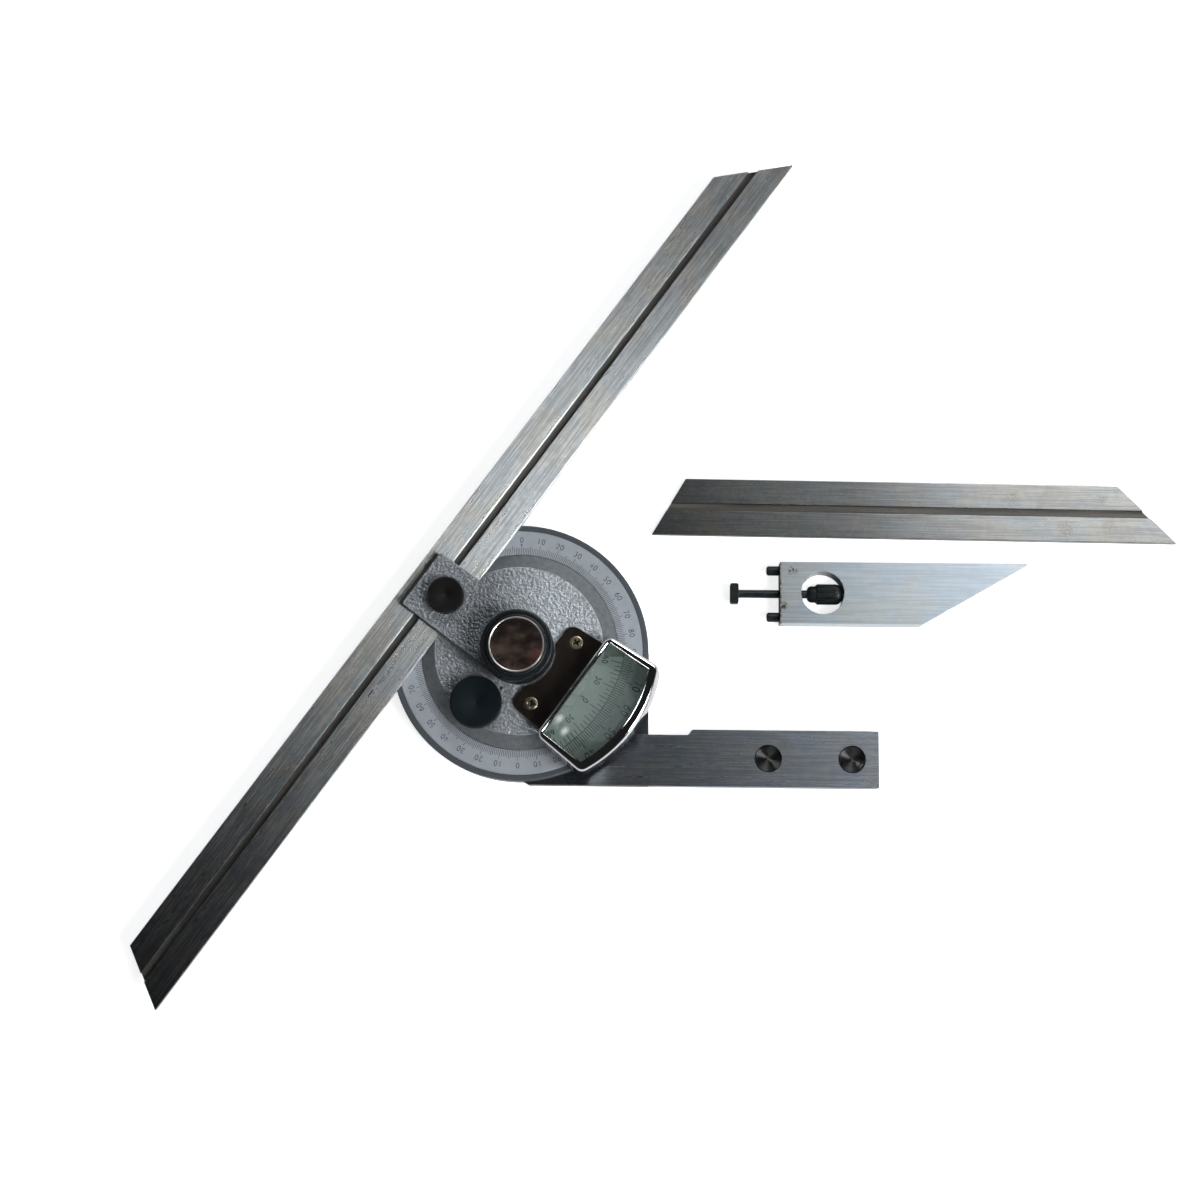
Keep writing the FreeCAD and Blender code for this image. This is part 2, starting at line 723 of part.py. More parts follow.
def make_bracket():
    """Bracket plate of the magnifier, with a round bite that clears the hub."""
    body = new_body("magnifier_bracket")
    sketch = new_sketch(body, "outline", height="plateau_top")
    polygon(sketch, [("bracket_inner", "magnifier_side - bracket_inner_half"),
                     ("bracket_outer", "magnifier_side - bracket_outer_half"),
                     ("bracket_outer", "magnifier_side + bracket_outer_half"),
                     ("bracket_inner", "magnifier_side + bracket_inner_half")])
    pad(body, sketch, "bracket_thickness")
    soften(body, "Fillet", "bracket_corner", upright_at(
        size("bracket_inner"), size("bracket_inner_half"), size("magnifier_side")))
    sketch = new_sketch(body, "bite", height="bracket_top")
    circle(sketch, "0", "0", "bracket_arc")
    pocket(body, sketch)
    cusp = math.sqrt(size("bracket_arc") ** 2 - size("bracket_inner") ** 2)
    soften(body, "Fillet", "bracket_cusp", upright_at(size("bracket_inner"), cusp))
    sketch = new_sketch(body, "screw_holes", height="bracket_top")
    for level in BRACKET_SCREWS:
        circle(sketch, "bracket_screw_distance", level, "bracket_head_radius")
    pocket(body, sketch, "bracket_thickness - bracket_web")
    sketch = new_sketch(body, "screw_shanks", height="bracket_top")
    for level in BRACKET_SCREWS:
        circle(sketch, "bracket_screw_distance", level, "screw_radius")
    pocket(body, sketch)
    place(body, turn="turret_turn")
    return body


def make_hood():
    """Chromed frame of the magnifier: an open box that flares downwards, with a lip."""
    body = new_body("magnifier_frame")
    sketch = new_sketch(body, "outline", height="hood_top")
    fan(sketch, "hood_inner", "hood_inner_half", "hood_outer_half", "hood_radius")
    block = pad(body, sketch, "hood_top - hood_bottom")
    block.Reversed = True
    bind(block, TaperAngle="hood_flare")
    doc.recompute()
    soften(body, "Fillet", "hood_corner", upright)
    top = size("hood_top")
    soften(body, "Fillet", "hood_edge", lambda edge: edge.BoundBox.ZMin > top - 0.01)
    sketch = new_sketch(body, "cavity", height="hood_bottom")
    fan(sketch, "hood_inner + hood_wall", "hood_inner_half - hood_wall",
        "hood_outer_half - hood_wall", "hood_radius - hood_wall")
    pocket(body, sketch, "lens_seat - hood_bottom", upwards=True)
    sketch = new_sketch(body, "window", height="hood_top")
    fan(sketch, "pane_inner", "pane_inner_half", "pane_outer_half", "pane_radius")
    pocket(body, sketch)
    turn_profile(body, "turret_room", [
        ("0", "0"), ("ring_inner + room_play", "0"),
        ("ring_inner + room_play", "bracket_top"), ("0", "bracket_top")], kind="Groove")
    place(body, turn="turret_turn")
    return body


def make_lens():
    """Thick lens, round on both faces, cut to the shape of the frame."""
    body = doc.addObject("PartDesign::Body", "LensOutline")
    sketch = new_sketch(body, "outline", height="lens_seat - lens_blank")
    fan(sketch, "pane_inner + lens_play", "pane_inner_half - lens_play",
        "pane_outer_half - lens_play", "pane_radius - lens_play")
    pad(body, sketch, "2 * lens_blank")
    balls = []
    for name, height in (("LensUpper", "lens_seat - lens_sunk - lens_drop"),
                         ("LensLower", "lens_seat - lens_edge + lens_sunk + lens_drop")):
        ball = doc.addObject("Part::Sphere", name)
        bind(ball, Radius="lens_curve")
        place(ball, x="lens_middle", y="magnifier_side", z=height)
        balls.append(ball)
    lens = doc.addObject("Part::MultiCommon", "Lens")
    lens.Shapes = [body] + balls
    place(lens, turn="turret_turn")
    return keep(lens, "magnifier_lens")


def make_attachment():
    """Acute angle attachment: plate with a round window, pins, T bolt and nut."""
    def on_plate(thing, x="0", y="0", z="0"):
        place(thing, x="plate_x + " + x, y="plate_y + " + y, z=z)
    body = new_body("attachment_plate")
    sketch = new_sketch(body, "outline")
    slant = "plate_width / tan(plate_point * 1deg)"
    polygon(sketch, [("0", "0"), ("plate_length", "0"),
                     ("plate_length - " + slant, "-plate_width"), ("0", "-plate_width")])
    pad(body, sketch, "plate_thickness")
    sketch = new_sketch(body, "window")
    circle(sketch, "window_distance", "-plate_width / 2", "window_radius")
    pocket(body, sketch, upwards=True)
    sketch = new_sketch(body, "bolt_bore", "YZ_Plane")
    circle(sketch, "-plate_width / 2", "axis_height", "bolt_radius + small_play")
    pocket(body, sketch, "window_distance", upwards=True)
    sketch = new_sketch(body, "pin_bores", "YZ_Plane")
    for side in ("0.5", "-0.5"):
        circle(sketch, "-plate_width / 2 + %s * seat_pitch" % side, "axis_height", "pin_radius")
    pocket(body, sketch, "pin_bury", upwards=True)
    on_plate(body)

    level = "-plate_width / 2"
    pins = []
    for number, side in enumerate(("0.5", "-0.5")):
        pin = doc.addObject("Part::Cylinder", "Pin%d" % number)
        bind(pin, Radius="pin_radius", Height="pin_reach + pin_bury - pin_bevel")
        tip = doc.addObject("Part::Cone", "PinTip%d" % number)
        bind(tip, Radius1="pin_radius", Radius2="pin_radius - pin_bevel", Height="pin_bevel")
        for thing, flip in ((pin, 90), (tip, -90)):
            thing.Placement = FreeCAD.Placement(
                ORIGIN, FreeCAD.Rotation(FreeCAD.Vector(0, 1, 0), flip))
            thing.setExpression("Placement.Base.x", bound("pin_bevel - pin_reach"))
            thing.setExpression(
                "Placement.Base.y", bound("%s + %s * seat_pitch" % (level, side)))
            thing.setExpression("Placement.Base.z", bound("axis_height"))
        pins.append(fuse("PinWhole%d" % number, pin, tip))
    on_plate(group("attachment_pins", pins))

    bolt = new_body("attachment_bolt")
    sketch = new_sketch(bolt, "head", "YZ_Plane", "-bolt_head_start")
    half, tall = "bolt_head_width / 2", "bolt_head_height / 2"
    polygon(sketch, [("-" + half, "-" + tall), (half, "-" + tall), (half, tall), ("-" + half, tall)])
    pad(bolt, sketch, "bolt_head_length")
    soften(bolt, "Fillet", "bolt_corner", upright)
    sketch = new_sketch(bolt, "shank", "YZ_Plane", "-bolt_head_start")
    circle(sketch, "0", "0", "bolt_radius")
    pad(bolt, sketch, "bolt_head_start + bolt_bury")
    on_plate(bolt, y="(%s)" % level, z="axis_height")

    nut = new_body("attachment_nut")
    sketch = new_sketch(nut, "section", "XY_Plane")
    end = "nut_start + nut_length"
    waist = "nut_start + nut_collar"
    hole = "bolt_radius + journal_play"
    deep = "nut_start + nut_length - nut_wall"
    polygon(sketch, [
        ("nut_start", hole), ("nut_start", "nut_collar_radius - nut_lead_depth"),
        ("nut_start + nut_lead", "nut_collar_radius"), (waist, "nut_collar_radius"),
        (waist, "nut_radius"), ("%s - nut_round" % end, "nut_radius"),
        ("%s - nut_cheek" % end, "nut_radius - nut_cheek"),
        (end, "nut_radius - nut_round"), (end, "0"), (deep, "0"), (deep, hole)])
    feature = nut.newObject("PartDesign::Revolution", "nut_turned")
    feature.Profile = sketch
    feature.ReferenceAxis = (sketch, ["H_Axis"])
    feature.Angle = 360
    doc.recompute()
    on_plate(nut, y="(%s)" % level, z="axis_height")


def make_screws():
    """The three groups of screws, each screw with its head and shank."""
    reach = "(spindle_flange_radius + back_recess_radius) / 2"
    screws = []
    for step in range(COVER_SCREWS):
        angle = "(%d + cover_screw_start) * 1deg" % (step * 360 / COVER_SCREWS)
        where = {"x": "%s * cos(%s)" % (reach, angle), "y": "%s * sin(%s)" % (reach, angle)}
        head = cone("CoverHead%d" % step, "cover_head_radius", "screw_radius",
                    "cover_thickness", **where)
        shank = cylinder("CoverShank%d" % step, "screw_radius",
                         "back_recess_depth + cover_screw_bite", **where)
        screws.append(fuse("CoverScrew%d" % step, head, shank))
    group("back_screws", screws)

    screws = []
    for number, side in enumerate(("1", "-1")):
        where = {"x": "-arm_screw_distance", "y": side + " * arm_screw_spread"}
        head = cylinder("ArmHead%d" % number, "screw_head_radius", "screw_head_height",
                        z="gear_bottom + turret_play", **where)
        shank = cylinder("ArmShank%d" % number, "screw_radius",
                         "arm_screw_bite + plateau_top - gear_bottom - turret_play",
                         z="gear_bottom + turret_play", **where)
        screws.append(fuse("ArmScrew%d" % number, head, shank))
    group("arm_screws", screws, "turret_turn")

    screws = []
    for number, level in enumerate(BRACKET_SCREWS):
        where = {"x": "bracket_screw_distance", "y": level}
        head = cone("BracketHead%d" % number, "screw_radius", "bracket_head_radius",
                    "bracket_thickness - bracket_web", z="plateau_top + bracket_web", **where)
        shank = cylinder("BracketShank%d" % number, "screw_radius",
                         "bracket_screw_bite + bracket_thickness",
                         z="plateau_top - bracket_screw_bite", **where)
        screws.append(fuse("BracketScrew%d" % number, head, shank))
    group("bracket_screws", screws, "turret_turn")


def make_round_pieces():
    """The pieces that are turned on a lathe."""
    turned("dial_ring", [
        ("ring_inner", "vernier_bottom"), ("ring_outer", "vernier_bottom"),
        ("ring_outer", "ring_top - ring_bevel"), ("ring_outer - ring_bevel", "ring_top"),
        ("ring_inner", "ring_top")])
    turned("spindle", [
        ("0", "cover_thickness"), ("spindle_flange_radius", "cover_thickness"),
        ("spindle_flange_radius", "back_recess_depth"), ("spindle_radius", "back_recess_depth"),
        ("spindle_radius", "hub_top"), ("thread_radius", "hub_top"),
        ("thread_radius", "spindle_top - thread_bevel"),
        ("thread_radius - thread_bevel", "spindle_top"),
        ("0", "spindle_top")])
    turned("thrust_washer", [
        ("bore_radius", "hub_top"), ("washer_radius", "hub_top"),
        ("washer_radius", "washer_top"), ("bore_radius", "washer_top")])
    low = "washer_top + turret_play"
    turned("centre_knob", [
        ("thread_radius + journal_play", low), ("knob_radius - knob_chamfer", low),
        ("knob_radius", low + " + knob_chamfer"), ("knob_radius", "knob_shoulder - knob_chamfer"),
        ("knob_radius - knob_chamfer", "knob_shoulder"), ("crown_radius", "knob_shoulder"),
        ("crown_radius", "crown_top - crown_bevel"), ("crown_radius - crown_bevel", "crown_top"),
        ("cap_radius", "crown_top"), ("cap_radius", "crown_top - cap_depth"),
        ("0", "crown_top - cap_depth"), ("0", "spindle_top + knob_headroom"),
        ("thread_radius + journal_play", "spindle_top + knob_headroom")])
    turned("knob_cap", [
        ("0", "crown_top - cap_depth"), ("cap_radius - cap_play", "crown_top - cap_depth"),
        ("cap_radius - cap_play", "cap_top - cap_bevel"), ("cap_radius - cap_bevel", "cap_top"),
        ("0", "cap_top")])

    vernier = new_body("vernier_plate")
    turn_profile(vernier, "section", [
        ("vernier_inner", "vernier_bottom"), ("flange_radius", "vernier_bottom"),
        ("flange_radius", "ring_top"), ("vernier_inner", "ring_top")],
        sweep="vernier_sweep - 2 * vernier_play")
    place(vernier, turn="turret_turn")

    bush = turned("fine_bush", [
        ("fine_shaft_radius + journal_play", "gear_top + turret_play"),
        ("fine_bush_radius", "gear_top + turret_play"), ("fine_bush_radius", "plateau_top"),
        ("fine_shaft_radius + journal_play", "plateau_top")])
    fine_place(bush)
    low = "plateau_top + knob_gap"
    knob = turned("fine_knob", [
        ("fine_shaft_radius", low), ("fine_knob_radius - fine_knob_bevel", low),
        ("fine_knob_radius", low + " + fine_knob_bevel"),
        ("fine_knob_radius", "fine_knob_top - fine_knob_bevel"),
        ("fine_knob_radius - fine_knob_bevel", "fine_knob_top"), ("0", "fine_knob_top"),
        ("0", "fine_knob_top - shaft_seat"), ("fine_shaft_radius", "fine_knob_top - shaft_seat")])
    fine_place(knob)

    bush = turned("clamp_bush", [
        ("clamp_shaft_radius + journal_play", "clamp_ledge"), ("clamp_bush_radius", "clamp_ledge"),
        ("clamp_bush_radius", "arm_top"), ("clamp_shaft_radius + journal_play", "arm_top")])
    clamp_place(bush)
    washer = turned("clamp_washer", [
        ("clamp_shaft_radius + journal_play", "arm_top"), ("clamp_washer_radius", "arm_top"),
        ("clamp_washer_radius", "arm_top + clamp_washer"),
        ("clamp_shaft_radius + journal_play", "arm_top + clamp_washer")])
    clamp_place(washer)
    low = "arm_top + clamp_washer + turret_play"
    knob = turned("blade_clamp_knob", [
        ("clamp_shaft_radius", low), ("clamp_knob_radius - clamp_knob_bevel", low),
        ("clamp_knob_radius", low + " + clamp_knob_bevel"),
        ("clamp_knob_radius", "clamp_knob_top - clamp_knob_bevel"),
        ("clamp_knob_radius - clamp_knob_bevel", "clamp_knob_top"), ("0", "clamp_knob_top"),
        ("0", "clamp_knob_top - shaft_seat"),
        ("clamp_shaft_radius", "clamp_knob_top - shaft_seat")])
    clamp_place(knob)


def make_eccentric():
    """Shaft of the blade clamp: its pin sits off the axis, in the groove of the blade."""
    body = new_body("eccentric_shaft")
    turn_profile(body, "section", [
        ("0", "plateau_top + small_play"), ("eccentric_radius", "plateau_top + small_play"),
        ("eccentric_radius", "clamp_ledge - small_play"),
        ("clamp_shaft_radius", "clamp_ledge - small_play"),
        ("clamp_shaft_radius", "clamp_knob_top - shaft_seat"),
        ("0", "clamp_knob_top - shaft_seat")])
    sketch = new_sketch(body, "pin", height="blade_top - groove_depth + small_play")
    circle(sketch, "-eccentric_throw", "0", "eccentric_pin_radius")
    pad(body, sketch, "plateau_top - blade_top + groove_depth + small_play")
    clamp_place(body)
    return body


def make_back_cover():
    """Round plate that closes the recess over the flange of the spindle."""
    body = new_body("back_cover")
    sketch = new_sketch(body, "disc")
    circle(sketch, "0", "0", "back_recess_radius - small_play")
    pad(body, sketch, "cover_thickness")
    reach = "(spindle_flange_radius + back_recess_radius) / 2"
    turn_profile(body, "rim", [
        ("spindle_flange_radius + small_play", "cover_rim"),
        ("back_recess_radius - small_play", "cover_rim"),
        ("back_recess_radius - small_play", "back_recess_depth"),
        ("spindle_flange_radius + small_play", "back_recess_depth")])
    sketch = new_sketch(body, "holes")
    for step in range(COVER_SCREWS):
        angle = "(%d + cover_screw_start) * 1deg" % (step * 360 / COVER_SCREWS)
        circle(sketch, "%s * cos(%s)" % (reach, angle), "%s * sin(%s)" % (reach, angle),
               "cover_head_radius")
    pocket(body, sketch, "cover_thickness", upwards=True)
    sketch = new_sketch(body, "shanks")
    for step in range(COVER_SCREWS):
        angle = "(%d + cover_screw_start) * 1deg" % (step * 360 / COVER_SCREWS)
        circle(sketch, "%s * cos(%s)" % (reach, angle), "%s * sin(%s)" % (reach, angle),
               "screw_radius")
    pocket(body, sketch, upwards=True)
    return body


def make_plugs():
    """The two turned discs that are let into the stock."""
    plugs = []
    for number, step in enumerate(("0", "plug_pitch")):
        plugs.append(cylinder(
            "Plug%d" % number, "plug_radius", "plug_thickness", x="plug_near + " + step,
            y="stock_width / 2 - stock_bottom", z="stock_top - plug_recess - plug_thickness"))
    group("stock_plugs", plugs)


make_stock_body()
make_ring_gear()
make_back_cover()
make_plugs()
make_turret()
make_arm()
make_round_pieces()
make_eccentric()
fine_place(make_fine_pinion(), z="gear_bottom",
           turn="(turret_turn - fine_angle) * (1 - ring_teeth / pinion_teeth)")
make_blade("blade", "blade_length",
           x="-blade_seat * sin(blade_angle * 1deg) - blade_foot * cos(blade_angle * 1deg)",
           y="blade_seat * cos(blade_angle * 1deg) - blade_foot * sin(blade_angle * 1deg)",
           z="blade_bottom", turn="blade_angle")
make_blade("short_blade", "short_length", x="short_x", y="short_y", turn="-short_turn")
make_bracket()
make_hood()
make_lens()
make_attachment()
make_screws()
doc.recompute()

faults = []
for thing in doc.Objects:
    if any(word in ("Invalid", "Error") for word in thing.State):
        faults.append(thing.Name)
for node in nodes:
    if node.Shape.isNull() or not node.Shape.isValid() or node.Shape.Volume <= 0:
        faults.append(node.Label)
if faults:
    raise ValueError("these objects failed: " + ", ".join(faults))

os.makedirs("parts", exist_ok=True)
for node in nodes:
    node.Shape.exportStep("parts/%s.step" % node.Label)
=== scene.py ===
import math

import bmesh
import bpy
from mathutils import Matrix, Vector


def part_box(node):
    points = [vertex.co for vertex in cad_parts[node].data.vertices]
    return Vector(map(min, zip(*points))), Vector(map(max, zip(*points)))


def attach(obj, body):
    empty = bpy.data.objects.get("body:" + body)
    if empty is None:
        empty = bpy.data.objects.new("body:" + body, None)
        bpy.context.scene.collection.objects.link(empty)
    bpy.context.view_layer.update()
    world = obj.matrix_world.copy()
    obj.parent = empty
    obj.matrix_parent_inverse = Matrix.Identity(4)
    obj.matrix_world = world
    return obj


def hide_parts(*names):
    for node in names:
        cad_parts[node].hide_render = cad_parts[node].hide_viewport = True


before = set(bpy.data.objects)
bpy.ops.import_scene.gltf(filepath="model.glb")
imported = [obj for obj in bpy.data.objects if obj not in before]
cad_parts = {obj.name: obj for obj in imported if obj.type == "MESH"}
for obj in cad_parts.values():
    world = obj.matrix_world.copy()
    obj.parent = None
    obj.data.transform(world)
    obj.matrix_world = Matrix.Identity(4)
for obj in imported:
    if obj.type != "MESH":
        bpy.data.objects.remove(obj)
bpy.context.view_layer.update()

# Looks of a bevel protractor with its spare blade and acute angle attachment. Lengths in
# this file are millimetres unless a name says otherwise, and MM turns them into metres.
MM = 0.001

# The photograph's camera: image 1200 pixels square, focal length in pixels, distance from the
# camera to the origin, how far the origin lies beside the line of sight, and the three tilts.
IMAGE_SIDE = 1200
FOCAL_PIXELS = 1838.8
VIEW_DISTANCE = 525.86
VIEW_SIDE = (22.468, 15.82)
VIEW_TILTS = (-9.034, -1.140, -0.483)
SENSOR = 36.0

# Angle of the long blade to the stock, and the turret's own frame, which has the magnifier on +X.
BLADE_ANGLE = math.radians(54.3)
TURRET_TURN = BLADE_ANGLE - math.pi / 2
SHORT_BLADE_TURN = math.radians(-0.6)


def levels_of(node):
    """Lowest and highest level of a node."""
    return [corner[2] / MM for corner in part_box(node)]


def middle_of(node):
    """Centre of a node's box."""
    low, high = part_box(node)
    return [(low[i] + high[i]) / 2 / MM for i in range(3)]


# Levels taken from the frame, and radii and distances along the stock where the finish changes.
RING_TOP = levels_of("dial_ring")[1]
PLATEAU_TOP = levels_of("turret_plate")[1]
BRACKET_TOP = levels_of("magnifier_bracket")[1]
HOOD_BOTTOM, HOOD_TOP = levels_of("magnifier_frame")
PAD_TOP = levels_of("stock_body")[1] - 0.7
PAD_START = 13.2
RELIEF_START = 36.4
PLATEAU_RADIUS = 23.7
RIM_RADIUS = 36.5

# Blades: width, half width of the groove and level of its floor above the blade's underside, and
# the corners that their patterns are measured from. The long blade's is given along and across it.
BLADE_WIDTH = 16.5
GROOVE_HALF = 1.05
GROOVE_FLOOR = 1.0
SHORT_BLADE_CORNER = (37.0, 35.2, 0.0)
BLADE_FOOT = (-138.2, 21.05)
BLADE_LEVEL = 8.3

# Magnifier in the turret's frame: how far it sits to one side, then the straight inner side,
# the half widths at its two ends and the radius of the outer side, of the hood and of its pane.
MAGNIFIER_SIDE = 0.55
HOOD_SHAPE = (18.4, 17.0, 18.1, 39.2)
PANE_SHAPE = (19.65, 15.45, 15.8, 36.5)
HOOD_CORNER = 2.4
PANE_CORNER = 0.45
HOOD_WALL = 1.0
HOOD_ROLL = 0.95
HOOD_FLARE = math.tan(math.radians(3))
LENS_PLAY = 0.04
LENS_CURVE = 44.0
LENS_FLATTENING = 8.0
LENS_INDEX = 1.90
LENS_CROWN = 26.3
BRACKET_SCREW_X = 11.7
BRACKET_SCREW_SPREAD = 10.6

# Turned pieces: radii, and the level of the centre knob's shoulder.
FINE_KNOB_RADIUS = 7.22
CLAMP_KNOB_RADIUS = 5.12
PLUG_RADIUS = 3.86
CAP_RADIUS = 7.68
SHOULDER = 22.7

# Scale ring and vernier: radii of lines and numbers, sizes of digits and lines.
RING_INNER = 27.8
NUMERAL_RADIUS = 32.0
NUMERAL_HEIGHT = 1.45
VERNIER_NUMERAL_RADIUS = 24.1
VERNIER_NUMERAL_HEIGHT = 1.1
VERNIER_VALUE_RADIUS = 23.05
VERNIER_VALUE_HEIGHT = 0.75
DIGIT_PITCH = 0.86
STROKE_WIDTH = 0.19
LINE_WIDTH = 0.13
LINE_THICKNESS = 0.02
VERNIER_STEP = 23 / 12

# Lighting. Ground steel reflects two strips of light. Each has the slopes of its two long sides
# along the steel's grinding lines, of its two ends across them, the softness of both and its
# brightness. The first strip serves the long blade, the second the pieces that lie along X.
BLADE_STRIP = ((0.088, 0.29), (0.57, 1.30), (0.03, 0.12), 37.0)
STOCK_STRIP = ((0.157, 0.562), (0.478, 1.383), (0.13, 0.12), 8.0)
AMBIENT = 0.16
AMBIENT_BEHIND_GLASS = 0.36
FLOOR_GLOW = 0.77

# Two small windows that the magnifier's glass reflects: slopes of their directions, and width.
WINDOWS = ((-0.36, -0.23, 0.06), (-0.43, -0.09, 0.06))
WINDOW_GLOW = 4.5


def turret_point(x, y, z=0.0):
    """A point given in the turret's own frame, in the frame of the whole object."""
    c, s = math.cos(TURRET_TURN), math.sin(TURRET_TURN)
    return Vector((x * c - y * s, x * s + y * c, z))


def link_object(name, data):
    """Add an object to the scene."""
    made = bpy.data.objects.new(name, data)
    bpy.context.scene.collection.objects.link(made)
    return made


# Camera, light and floor

def make_camera():
    """Camera at the place and with the lens that the photograph was taken with."""
    tilt = [math.radians(angle) for angle in VIEW_TILTS]
    turn = (Matrix.Rotation(tilt[2], 3, "Z") @ Matrix.Rotation(tilt[1], 3, "Y")
            @ Matrix.Rotation(tilt[0], 3, "X")).transposed()
    data = bpy.data.cameras.new("photo_camera")
    data.sensor_width = SENSOR
    data.lens = SENSOR * FOCAL_PIXELS / IMAGE_SIDE
    data.clip_start = 0.01
    camera = link_object("photo_camera", data)
    spot = turn @ Vector((VIEW_SIDE[0], VIEW_SIDE[1], VIEW_DISTANCE)) * MM
    camera.matrix_world = Matrix.Translation(spot) @ turn.to_4x4()
    bpy.context.scene.camera = camera


class Nodes:
    """A node tree, with a short way to add each kind of node that is needed often."""

    def __init__(self, tree):
        self.tree = tree

    def feed(self, socket, value):
        """Link a socket, or set it to a constant. A colour is red, green and blue."""
        if isinstance(value, bpy.types.NodeSocket):
            self.tree.links.new(value, socket)
        elif socket.type == "RGBA":
            socket.default_value = (*value, 1.0)
        else:
            socket.default_value = value

    def add(self, kind, inputs=(), **settings):
        """Add a node, set its properties, and feed its inputs by name or number."""
        node = self.tree.nodes.new(kind)
        for name, value in settings.items():
            setattr(node, name, value)
        for name, value in dict(inputs).items():
            self.feed(node.inputs[name], value)
        return node

    def maths(self, operation, *values):
        """Result of a Math node."""
        return self.add("ShaderNodeMath", dict(enumerate(values)), operation=operation).outputs[0]

    def chain(self, operation, first, *others):
        """Result of one operation on two values or more."""
        for other in others:
            first = self.maths(operation, first, other)
        return first

    def times(self, *values):
        """Product of the values."""
        return self.chain("MULTIPLY", *values)

    def most(self, *values):
        """The highest of the values."""
        return self.chain("MAXIMUM", *values)

    def scaled(self, value, factor, more):
        """value times factor, plus more."""
        return self.maths("MULTIPLY_ADD", value, factor, more)

    def rest(self, value):
        """1 less the value."""
        return self.maths("SUBTRACT", 1.0, value)

    def vectors(self, operation, *values):
        """Result of a Vector Math node."""
        node = self.add("ShaderNodeVectorMath", dict(enumerate(values)), operation=operation)
        return node.outputs[1 if operation in ("DISTANCE", "LENGTH") else 0]

    def combine(self, x=0.0, y=0.0, z=0.0):
        """A vector from its three parts."""
        return self.add("ShaderNodeCombineXYZ", {"X": x, "Y": y, "Z": z}).outputs[0]

    def split(self, vector):
        """The three parts of a vector."""
        return self.add("ShaderNodeSeparateXYZ", {"Vector": vector}).outputs

    def step(self, value, low, high, start=0.0, end=1.0, **settings):
        """start up to low, end from high on, and a slope between."""
        return self.add("ShaderNodeMapRange", {
            "Value": value, "From Min": low, "From Max": high, "To Min": start, "To Max": end},
            **settings).outputs[0]

    def band(self, value, low, high, soft):
        """1 between low and high, falling to 0 over soft edges."""
        return self.times(self.step(value, low - soft, low + soft),
                          self.step(value, high + soft, high - soft))

    def noise(self, vector, scale=1.0, detail=2.0, roughness=0.5, distortion=0.0):
        """Noise over a vector."""
        return self.add("ShaderNodeTexNoise", {
            "Vector": vector, "Scale": scale, "Detail": detail, "Roughness": roughness,
            "Distortion": distortion}).outputs[0]

    def stretched(self, vector, length, width):
        """A vector divided by a length along the piece and a width across it."""
        return self.vectors("DIVIDE", vector, self.combine(length, width, width))

    def ramp(self, factor, *stops):
        """Colour ramp with stops of (position, colour or grey)."""
        node = self.add("ShaderNodeValToRGB", {"Fac": factor})
        elements = node.color_ramp.elements
        while len(elements) < len(stops):
            elements.new(0.5)
        for element, (position, tone) in zip(elements, stops):
            element.position = position
            shade = (tone, tone, tone) if isinstance(tone, (int, float)) else tone
            element.color = (*shade, 1.0)
        return node.outputs["Color"]

    def blend(self, factor, first, second, mode="MIX"):
        """Mix of two colours."""
        return self.add("ShaderNodeMix", {0: factor, 6: first, 7: second}, data_type="RGBA",
                        blend_type=mode).outputs[2]

    def shaded(self, colour, shade):
        """A colour multiplied by a shade."""
        return self.blend(1.0, colour, shade, "MULTIPLY")

    def background(self, colour, strength):
        """Light that comes from the world."""
        return self.add("ShaderNodeBackground", {"Color": colour, "Strength": strength}).outputs[0]

    def mix(self, factor, first, second):
        """Mix of two shaders."""
        return self.add("ShaderNodeMixShader", {0: factor, 1: first, 2: second}).outputs[0]


